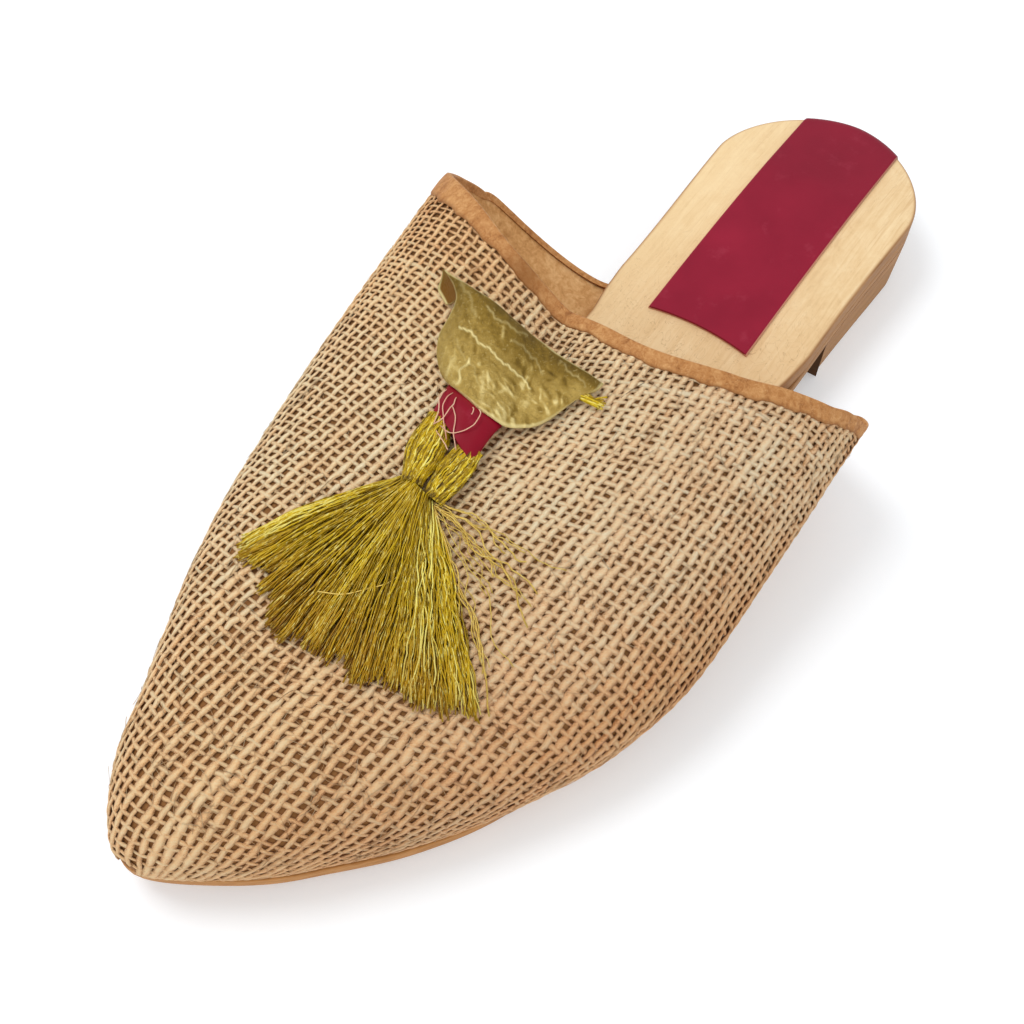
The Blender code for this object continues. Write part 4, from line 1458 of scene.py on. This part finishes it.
def makeLeaf():
    # the face is blended from its four edges; a runs along the upper edge and t down from it
    a = np.linspace(0, 1, leaf["columns"])
    t = np.linspace(0, 1, leaf["rows"])
    upper, lower = edgeCurve("upper", a)[:, None], edgeCurve("lower", a)[:, None]
    left, right = edgeCurve("left", t)[None], edgeCurve("right", t)[None]
    a2, t2 = a[:, None, None], t[None, :, None]
    corners = (upper[:1] * (1 - a2) * (1 - t2) + upper[-1:] * a2 * (1 - t2)
               + lower[:1] * (1 - a2) * t2 + lower[-1:] * a2 * t2)
    body = (1 - t2) * upper + t2 * lower + (1 - a2) * left + a2 * right - corners
    along, t = np.broadcast_arrays(a[:, None], t[None])
    x, station = body[..., 0] - shoe["axisX"], shoe["heelY"] - body[..., 1]
    # nowhere but at its edges does it lie closer to the jute than this
    clear = overPlan(x, station, 0.0 * x)[..., 2] + leaf["clear"] - body[..., 2]
    inside = ease(np.minimum(t, 1 - t) / 0.08), ease(np.minimum(along, 1 - along) / 0.08)
    body[..., 2] += np.maximum(clear, 0) * inside[0] * inside[1]
    normal = unit(np.cross(np.gradient(body, axis=0), np.gradient(body, axis=1)))
    normal = normal * np.where(normal[..., 2:] < 0, -1, 1)
    dents, vein = hammerDents(x, station), leafVeins(x, station)
    edge = np.minimum(np.minimum(t, 1 - t) / 0.025, np.minimum(along, 1 - along) / 0.012)
    rim = np.sqrt(np.clip(edge, 0, 1))
    dome = leaf["dome"] * np.sin(math.pi * t) * np.sin(math.pi * along)
    rise = leaf["dentDepth"] * dents * rim + leaf["veinHeight"] * vein * rim + dome
    low = body + normal * rise[..., None]
    high = low + normal * (leaf["thick"] * (0.35 + 0.65 * rim))[..., None]
    # the upper part turns from the light and the lower part towards it
    shaded = ease(1 - t / 0.55) * (0.5 + 0.5 * along)
    lit = ease((t - 0.25) / 0.6) * (1 - 0.5 * along)
    # painted light and shade from the dents and from the leaf's turn to and from the light
    relief = np.clip(0.48 + 0.26 * dents - 0.5 * shaded + 0.16 * lit, 0, 1)
    border = np.minimum(np.minimum(t, 1 - t) / 0.04, np.minimum(along, 1 - along) / 0.02)
    # pale veins and rim, and painted glints on the tops of the highest dents
    veinAndGlint = np.clip(0.8 * vein**1.6 + 0.75 * (1 - ease(border)) + 0.4 * np.clip(dents - 0.55, 0, 1), 0, 1)
    # the folded tab beside the curled tip comes first, then the leaf itself
    fold = np.linspace(1, 0, leaf["tabColumns"] + 1)[:-1, None]
    width = ease((leaf["tabEnd"] - t[:1]) / 0.06) * (0.25 + 0.75 * ease(t[:1] / 0.1))
    tabEdge = edgeCurve("tab", np.clip(t[0] / leaf["tabEnd"], 0, 1))
    fall = np.stack([fold * width] * 2 + [(1 - (1 - fold) ** 1.8) * width], -1)
    tab = low[:1] + (tabEdge - low[0])[None] * fall
    low, high = np.concatenate([tab, low]), np.concatenate([tab + np.array([0, 0, 0.3]), high])
    # painted shade on the tab, save for a pale line at its outer edge
    dark = np.broadcast_to(np.where(fold > 0.8, 0.15, 1.0), tab.shape[:2])
    under = np.concatenate([dark * width, 0 * relief])
    relief = np.concatenate([0 * tab[..., 0] + 0.3, relief])
    veinAndGlint = np.concatenate([0.75 * (fold > 0.8) * width, veinAndGlint])
    points, faces = thinBody(high, low)
    extras = {"relief": relief, "vein": veinAndGlint, "under": under}
    extras = {key: np.concatenate([v.ravel(), v.ravel()]) for key, v in extras.items()}
    makePiece("gold_leaf", points, faces, finishes["leaf"], ("leaf",), extras, sharp=70)


makeLeaf()

sleeve = {
    "start": 157.2,
    "frontLeft": 165.0,    # where its front edge ends on the inner side, and on the outer side
    "frontRight": 170.4,
    "middle": -13.8,
    "half": 7.8,
    "narrow": 0.14,        # how much narrower it gets towards the front
    "rise": 2.8,
    "wall": 0.7,
    "sides": 72,
    "rows": 26,
}


def sleeveRise(share):
    # flat where it lies under the leaf, full towards its front edge
    return sleeve["rise"] * (0.4 + 0.6 * ease(share / 0.55))


def makeSleeve():
    turn = np.linspace(0, 2 * math.pi, sleeve["sides"], endpoint=False)[None]
    share = np.linspace(0, 1, sleeve["rows"])[:, None]
    squeeze = 1 - sleeve["narrow"] * share - 0.03 * np.sin(math.pi * share)
    ripple = 0.22 * np.sin(3 * turn + 2 * share) * np.sin(math.pi * share)
    ripple = ripple + 0.12 * np.sin(7 * turn + 5 * share)
    across = 0.5 + 0.5 * np.cos(turn)
    front = sleeve["frontLeft"] + (sleeve["frontRight"] - sleeve["frontLeft"]) * across
    station = sleeve["start"] + (front - sleeve["start"]) * share
    # its roof bends down a little at the cut front edge
    tuck = 1 - 0.12 * ease((share - 0.8) / 0.2)
    rise = sleeveRise(share)
    middle = 0.5 + rise

    def face(inset):
        wide = (sleeve["half"] * squeeze - inset) * np.cos(turn)
        tall = (rise * squeeze * tuck - inset + ripple * 0.5) * np.sin(turn)
        return overPlan(sleeve["middle"] + 0.9 * (share - 0.5) + wide, station, middle + tall)

    outer, inner = face(0.0), face(sleeve["wall"])
    rows = np.concatenate([outer, inner[::-1]])
    sides = sleeve["sides"]
    faces = gridFaces(len(rows), sides, closed=True)
    last = (len(rows) - 1) * sides
    for j in range(sides):
        k = (j + 1) % sides
        faces.append((last + j, last + k, k, j))
    makePiece("band_sleeve", rows, faces, finishes["band"], ("wrap_band",), sharp=60)


makeSleeve()

tassel = {
    # x and station of both ends of each bound head, and its half width
    "heads": [((-17.9, 166), (-14.9, 178.9), 3.6), ((-8.9, 168.2), (-9.4, 179.5), 3.0)],
    "headTall": 0.73,           # height of a head against its width
    "neck": 2.2,                # half width where a head is tied off
    "headThreads": 84,
    "headThreadSize": (0.16, 0.25),
    "threads": 860,
    "threadSize": (0.14, 0.24),
    "brightShare": 0.16,        # how many of the outer threads catch the light
    "locks": 30,                # bundles that the threads gather into
    "leftRoot": (-17.2, 178.4),  # the skirt starts between these
    "rightRoot": (-8.9, 180.2),
    "wisps": 20,
    # x and station along the one loose thread that lies across the skirt
    "across": ((-16.5, 207), (-12, 204.8), (-8.8, 201.4), (-6, 197.8), (-5, 194)),
}

# where the threads end: share round the hem from the inner side to the outer, x, station
hem = [
    (0, -38.0, 200.4), (0.06, -39.2, 203.6), (0.13, -37.4, 207), (0.2, -31.6, 208.6), (0.27, -26, 212),
    (0.34, -20.8, 216.2), (0.45, -12.8, 216.8), (0.57, -4.5, 216), (0.68, 2.2, 215.2), (0.78, 8.5, 213.2),
    (0.88, 14, 212), (0.94, 17.6, 209.8), (1, 20.4, 206.8),
]


def smoothPath(points, count=16):
    # evenly spaced points on a smooth line through the given ones
    rows = np.array(points, float)
    length = pathLength(rows)
    table = np.column_stack([length / length[-1], rows])
    share = np.linspace(0, 1, count)
    return readCurve(table, 1, share), readCurve(table, 2, share)


def headProfile(share, wide):
    # half width of a head from the sleeve to its bound neck
    neck = tassel["neck"]
    grown = 2.4 + (wide - 2.4) * np.sin(0.5 * math.pi * np.clip(share / 0.45, 0, 1))
    closed = neck + (wide - neck) * np.cos(0.5 * math.pi * np.clip((share - 0.45) / 0.5, 0, 1)) ** 1.2
    return np.where(share < 0.45, grown, closed)


def layThreads(x, station, lift, tone, thick, sides=4):
    # many threads at once from arrays of plan places and lifts
    centre = overPlan(x, station, lift)
    up = unit(overPlan(x, station, lift + 1.0) - centre)
    thick = np.broadcast_to(thick, len(x))
    return [tubeRun(centre[k], up[k], thick[k], thick[k], sides, tone[k], 3.0) for k in range(len(x))]


def layOne(x, station, lift, tone, thick):
    # a single thread
    flat = np.zeros((1, len(x)))
    return layThreads(x[None], station[None], flat + lift, flat + tone, thick)


def headThreads():
    # two bundles that lie side by side, each swelling out of the sleeve and tied at its neck
    made = []
    count = tassel["headThreads"]
    for (x0, s0), (x1, s1), size in tassel["heads"]:
        share = np.linspace(-0.06, 1.04, 24)[None]
        turn = np.linspace(-0.45, math.pi + 0.45, count)[:, None] + dice.normal(0, 0.08, (count, 1))
        twist = turn + 0.35 * share + wavy(count, share.size, 1.0, 0.09) + wavy(count, share.size, 3.5, 0.05)
        wide = headProfile(np.clip(share, 0, 1), size) * dice.uniform(0.84, 1.05, turn.shape)
        wide = wide + wavy(count, share.size, 2.6, 0.16)
        way = np.array([x1 - x0, s1 - s0])
        way = way / np.linalg.norm(way)
        across = wide * np.cos(twist)
        x = x0 + (x1 - x0) * share + across * way[1]
        station = s0 + (s1 - s0) * share - across * way[0]
        tall = size * tassel["headTall"]
        lift = 0.4 + tall + wide * tassel["headTall"] * np.sin(twist)
        tone = dice.normal(0.54, 0.22, turn.shape) + wavy(count, share.size, 3.0, 0.16)
        # painted shade where the head is gathered into its neck
        tone = tone - 0.35 * bell(share, 1.0, 0.07)
        made += layThreads(x, station, lift, tone, dice.uniform(*tassel["headThreadSize"], count))
        # the tie goes twice round the neck, painted dark for the shade where the threads are gathered
        for at in (0.985, 1.005):
            spin = np.linspace(0, 2 * math.pi, 15)
            ring = (tassel["neck"] + 0.05) * np.cos(spin)
            tieX, tieS = x0 + (x1 - x0) * at + ring * way[1], s0 + (s1 - s0) * at - ring * way[0]
            high = 0.4 + tall + 0.75 * tassel["neck"] * np.sin(spin)
            made += layOne(tieX, tieS, high, 0.05, 0.11)
    return made


def skirtTone(spread, share, level, lockTone):
    # both sides of the fan are lighter; threads deep in the fan are painted in shade, and on the outer side a
    # few threads are painted bright where they catch the light
    tone = 0.46 + 0.32 * ease(1 - spread / 0.3) * share**0.8 + 0.24 * ease((spread - 0.6) / 0.3)
    tone = tone + 0.5 * (level - 0.6) + lockTone + dice.normal(0, 0.14, spread.shape)
    tone = tone + 0.14 * (share - 0.5) + wavy(len(spread), share.size, 2.5, 0.1)
    bright = dice.uniform(size=spread.shape) < tassel["brightShare"]
    tone = tone + 0.6 * bright * ease((spread - 0.62) / 0.2)
    return tone - 0.12 * ease((spread - 0.6) / 0.2)


def skirtThreads():
    # spread runs from the inner side of the fan to its outer side, share from root to hem
    count, locks = tassel["threads"], tassel["locks"]
    spread = np.sort(dice.uniform(0, 1, (count, 1)), 0)
    level = dice.uniform(0, 1, (count, 1))
    share = np.linspace(0, 1, 26)[None]
    # each thread belongs to a lock, and its end is drawn towards the lock's own place
    number = np.clip((spread * locks + dice.normal(0, 0.35, spread.shape)).astype(int), 0, locks - 1)
    lockPlace = (np.arange(locks) + 0.5 + dice.normal(0, 0.2, locks)) / locks
    lockReach, lockTone = dice.normal(0, 0.9, locks), dice.normal(0, 0.06, locks)
    end = spread + (lockPlace[number] - spread) * dice.uniform(0.1, 0.75, spread.shape)
    endX, endS = readCurve(hem, 1, end), readCurve(hem, 2, end)
    # it starts between the two necks, and its lock makes it longer or shorter
    (leftX, leftS), (rightX, rightS) = tassel["leftRoot"], tassel["rightRoot"]
    root = np.clip(spread + dice.normal(0, 0.08, spread.shape), 0, 1)
    rootX, rootS = leftX + (rightX - leftX) * root, leftS + (rightS - leftS) * root
    wayX, wayS = endX - rootX, endS - rootS
    long = np.hypot(wayX, wayS)
    more = 1 + (lockReach[number] + dice.normal(0, 0.8, spread.shape) - 0.8 * level) / long
    endX, endS = rootX + wayX * more, rootS + wayS * more
    # it bows a little on its way
    bow = 0.9 * ease(1 - spread / 0.4) - 0.5 * ease((spread - 0.6) / 0.4) + dice.normal(0, 0.9, spread.shape)
    midX, midS = 0.5 * (rootX + endX) - bow * wayS / long, 0.5 * (rootS + endS) - bow * wayX / long
    x = (1 - share) ** 2 * rootX + 2 * share * (1 - share) * midX + share**2 * endX
    station = (1 - share) ** 2 * rootS + 2 * share * (1 - share) * midS + share**2 * endS
    # threads sway more on the outer side, and kink a little all over
    kink = ease(share * 3)
    sway = 1 + 0.9 * ease((spread - 0.55) / 0.45)
    across = wavy(count, share.size, 0.9, 0.5) * sway + wavy(count, share.size, 3.4, 0.2) * sway
    x = x - across * kink * wayS / long
    station = station + across * kink * wayX / long
    # the threads at the inner tip curl in
    curl = ease(1 - spread / 0.16) * ease((share - 0.7) / 0.3)
    x, station = x + 2.2 * curl * dice.uniform(0.2, 1, spread.shape), station + 1.2 * curl
    # the fan's own height: full at the root and flat towards its hem and edges
    thick = 3.8 * (1 - share) ** 1.5 + 2.7 * np.sin(math.pi * np.clip(share * 0.9 + 0.1, 0, 1)) ** 0.8 * 0.8
    thick = thick + 1.2 * share
    edge = np.sin(math.pi * np.clip(spread, 0.04, 0.96)) ** 0.4
    lift = 0.3 + level * thick * edge + wavy(count, share.size, 3.0, 0.2) * kink
    lift = np.maximum(lift, 0.25)
    tone = skirtTone(spread, share, level, lockTone[number])
    return layThreads(x, station, lift, tone, dice.uniform(*tassel["threadSize"], count), 3)


def wispThreads():
    # loose threads that have worked free on the outer side, and one across
    count = tassel["wisps"]
    share = np.linspace(0, 1, 22)[None]
    aim = dice.uniform(0, 1, (count, 1))
    low = aim < 0.62

    def between(first, last):
        return first + (last - first) * dice.uniform(0, 1, (count, 1))

    endX = np.where(low, between(8, 20), between(15, 24))
    endS = np.where(low, between(176.5, 189), between(196, 208))
    rootX, rootS = -9 + dice.normal(0, 0.7, (count, 1)), 180.6 + dice.normal(0, 0.5, (count, 1))
    wayX, wayS = endX - rootX, endS - rootS
    long = np.hypot(wayX, wayS)
    across = (wavy(count, share.size, 1.0, 1.3) + wavy(count, share.size, 3.0, 0.45)) * ease(share * 2.5)
    x = rootX + wayX * share - across * wayS / long
    station = rootS + wayS * share + across * wayX / long - 1.2 * np.sin(math.pi * share) * low
    lift = 0.4 + 1.8 * (1 - share) ** 2 + 0.8 * np.abs(wavy(count, share.size, 1.8, 0.9))
    tone = dice.normal(0.82, 0.14, (count, 1)) + wavy(count, share.size, 3.0, 0.12)
    thick = np.where(dice.uniform(size=count) < 0.5, 0.2, 0.13)
    made = layThreads(x, station, lift, tone, thick, 3)
    return made + layOne(*smoothPath(tassel["across"]), 3.4, 0.95, 0.13)


makeThreads("tassel_heads", headThreads(), finishes["tassel"])
piece = makeThreads("tassel_skirt", skirtThreads(), finishes["tassel"], ("tassel",))
makeThreads("tassel_wisps", wispThreads(), finishes["stray"])
print("tassel made", len(piece.data.polygons) * 2, "triangles")

loose = {
    # x and station along the thin threads over the sleeve
    "paths": [
        ((-20.6, 160.2), (-19.9, 162.6), (-18, 165.6), (-17.2, 168.4)),
        ((-17.1, 161.3), (-16.3, 163.2), (-16.3, 166), (-17.4, 168), (-18.6, 169)),
        ((-16.4, 163.3), (-14.1, 165.4), (-12.5, 167.8), (-10.5, 170)),
        ((-11.5, 161.2), (-10.3, 161.9), (-9.9, 164), (-11.2, 166.6), (-13.7, 168), (-16, 167.6)),
        ((-12.9, 161.6), (-11.9, 162.4), (-11.8, 163.2)),
        ((-17.4, 168), (-14.7, 169.4), (-11.8, 170.6)),
        ((-18.8, 160.4), (-18.2, 163.4), (-16.2, 166.4), (-13.2, 169.2)),
    ],
    "tuft": 18,            # thread ends that show beyond the leaf's outer corner
}


def bandLift(x, station):
    # height over the jute of whatever the loose threads lie on
    wide = np.clip(np.abs(x - sleeve["middle"]) / sleeve["half"], 0, 1)
    rise = sleeveRise((station - sleeve["start"]) / 10)
    return 0.6 + rise * (1 + np.sqrt(1 - wide**2)) - 0.25 * np.clip(station - 164, 0, 6)


def makeBandThreads():
    made = []
    for path in loose["paths"]:
        x, station = smoothPath(path, 22)
        x, station = x + wavy(1, 22, 1.5, 0.1)[0], station + wavy(1, 22, 1.5, 0.1)[0]
        lift = bandLift(x, station) + 0.1 + 0.45 * np.sin(np.linspace(0, math.pi, len(x)))
        made += layOne(x, station, lift, dice.uniform(0.3, 1), 0.12)
    makeThreads("band_threads", made, finishes["pink"])
    tuft = []
    for _ in range(loose["tuft"]):
        end = (7.6 + dice.normal(0, 0.5), 146.6 + dice.normal(0, 0.8))
        x, station = smoothPath(((1.6, 147.4), (4.2, 146.8 + dice.normal(0, 0.45)), end), 10)
        lift = 0.9 + 0.5 * np.sin(np.linspace(0, math.pi, 10)) + dice.uniform(0, 0.9)
        tuft += layOne(x, station, lift, dice.normal(0.74, 0.14), 0.2)
    makeThreads("leaf_tuft", tuft, finishes["tassel"])


makeBandThreads()

# floor, light and camera

studio = {
    "floorHalf": 1.6,
    "target": (0.0027, -0.0309, 0.025),
    "camera": (0.08543, -0.15098, 0.24063),
    "roll": 0.9,                # degrees
    "lens": 42.7,
    "worldStrength": 0.83,
    "keyPlace": (-0.32, -0.12, 0.79),
    "keySize": 0.36,
    "keyPower": 2.4,
    "fillPlace": (0.5, -0.5, 0.6),
    "fillSize": 0.6,
    "fillPower": 0.5,
}


def makeFloor():
    half, low = studio["floorHalf"], -0.0001
    mesh = bpy.data.meshes.new("floor")
    corners = [(x, y, low) for x, y in ((-half, -half), (half, -half), (half, half), (-half, half))]
    mesh.from_pydata(corners, [], [(0, 1, 2, 3)])
    mesh.materials.append(finishes["floor"])
    floor = bpy.data.objects.new("floor", mesh)
    bpy.context.scene.collection.objects.link(floor)
    floor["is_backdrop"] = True


def makeLamp(name, place, size, power):
    lamp = bpy.data.lights.new(name, "AREA")
    lamp.shape, lamp.size, lamp.energy = "DISK", size, power
    holder = bpy.data.objects.new(name, lamp)
    bpy.context.scene.collection.objects.link(holder)
    holder.location = place
    way = Vector(studio["target"]) - Vector(place)
    holder.rotation_euler = way.to_track_quat("-Z", "Y").to_euler()


def makeCamera():
    lens = bpy.data.cameras.new("camera")
    lens.lens, lens.sensor_width = studio["lens"], 36.0
    lens.clip_start, lens.clip_end = 0.01, 10.0
    holder = bpy.data.objects.new("camera", lens)
    bpy.context.scene.collection.objects.link(holder)
    place, target = Vector(studio["camera"]), Vector(studio["target"])
    ahead = (target - place).normalized()
    right = ahead.cross(Vector((0, 0, 1))).normalized()
    up = right.cross(ahead)
    turn = math.radians(studio["roll"])
    tiltedRight = right * math.cos(turn) + up * math.sin(turn)
    tiltedUp = up * math.cos(turn) - right * math.sin(turn)
    matrix = Matrix((tiltedRight, tiltedUp, -ahead)).transposed().to_4x4()
    matrix.translation = place
    holder.matrix_world = matrix
    bpy.context.scene.camera = holder


makeFloor()
makeLamp("keyLamp", studio["keyPlace"], studio["keySize"], studio["keyPower"])
makeLamp("fillLamp", studio["fillPlace"], studio["fillSize"], studio["fillPower"])
makeCamera()

sky = bpy.context.scene.world or bpy.data.worlds.new("studio")
bpy.context.scene.world = sky
sky.use_nodes = True
sky.node_tree.nodes["Background"].inputs[0].default_value = (1, 1, 1, 1)
sky.node_tree.nodes["Background"].inputs[1].default_value = studio["worldStrength"]
bpy.context.scene.view_settings.view_transform = "Standard"
print("studio made")

total = sum(len(p.data.loops) - 2 * len(p.data.polygons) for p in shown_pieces() if p.type == "MESH")
print("triangles in all:", total)
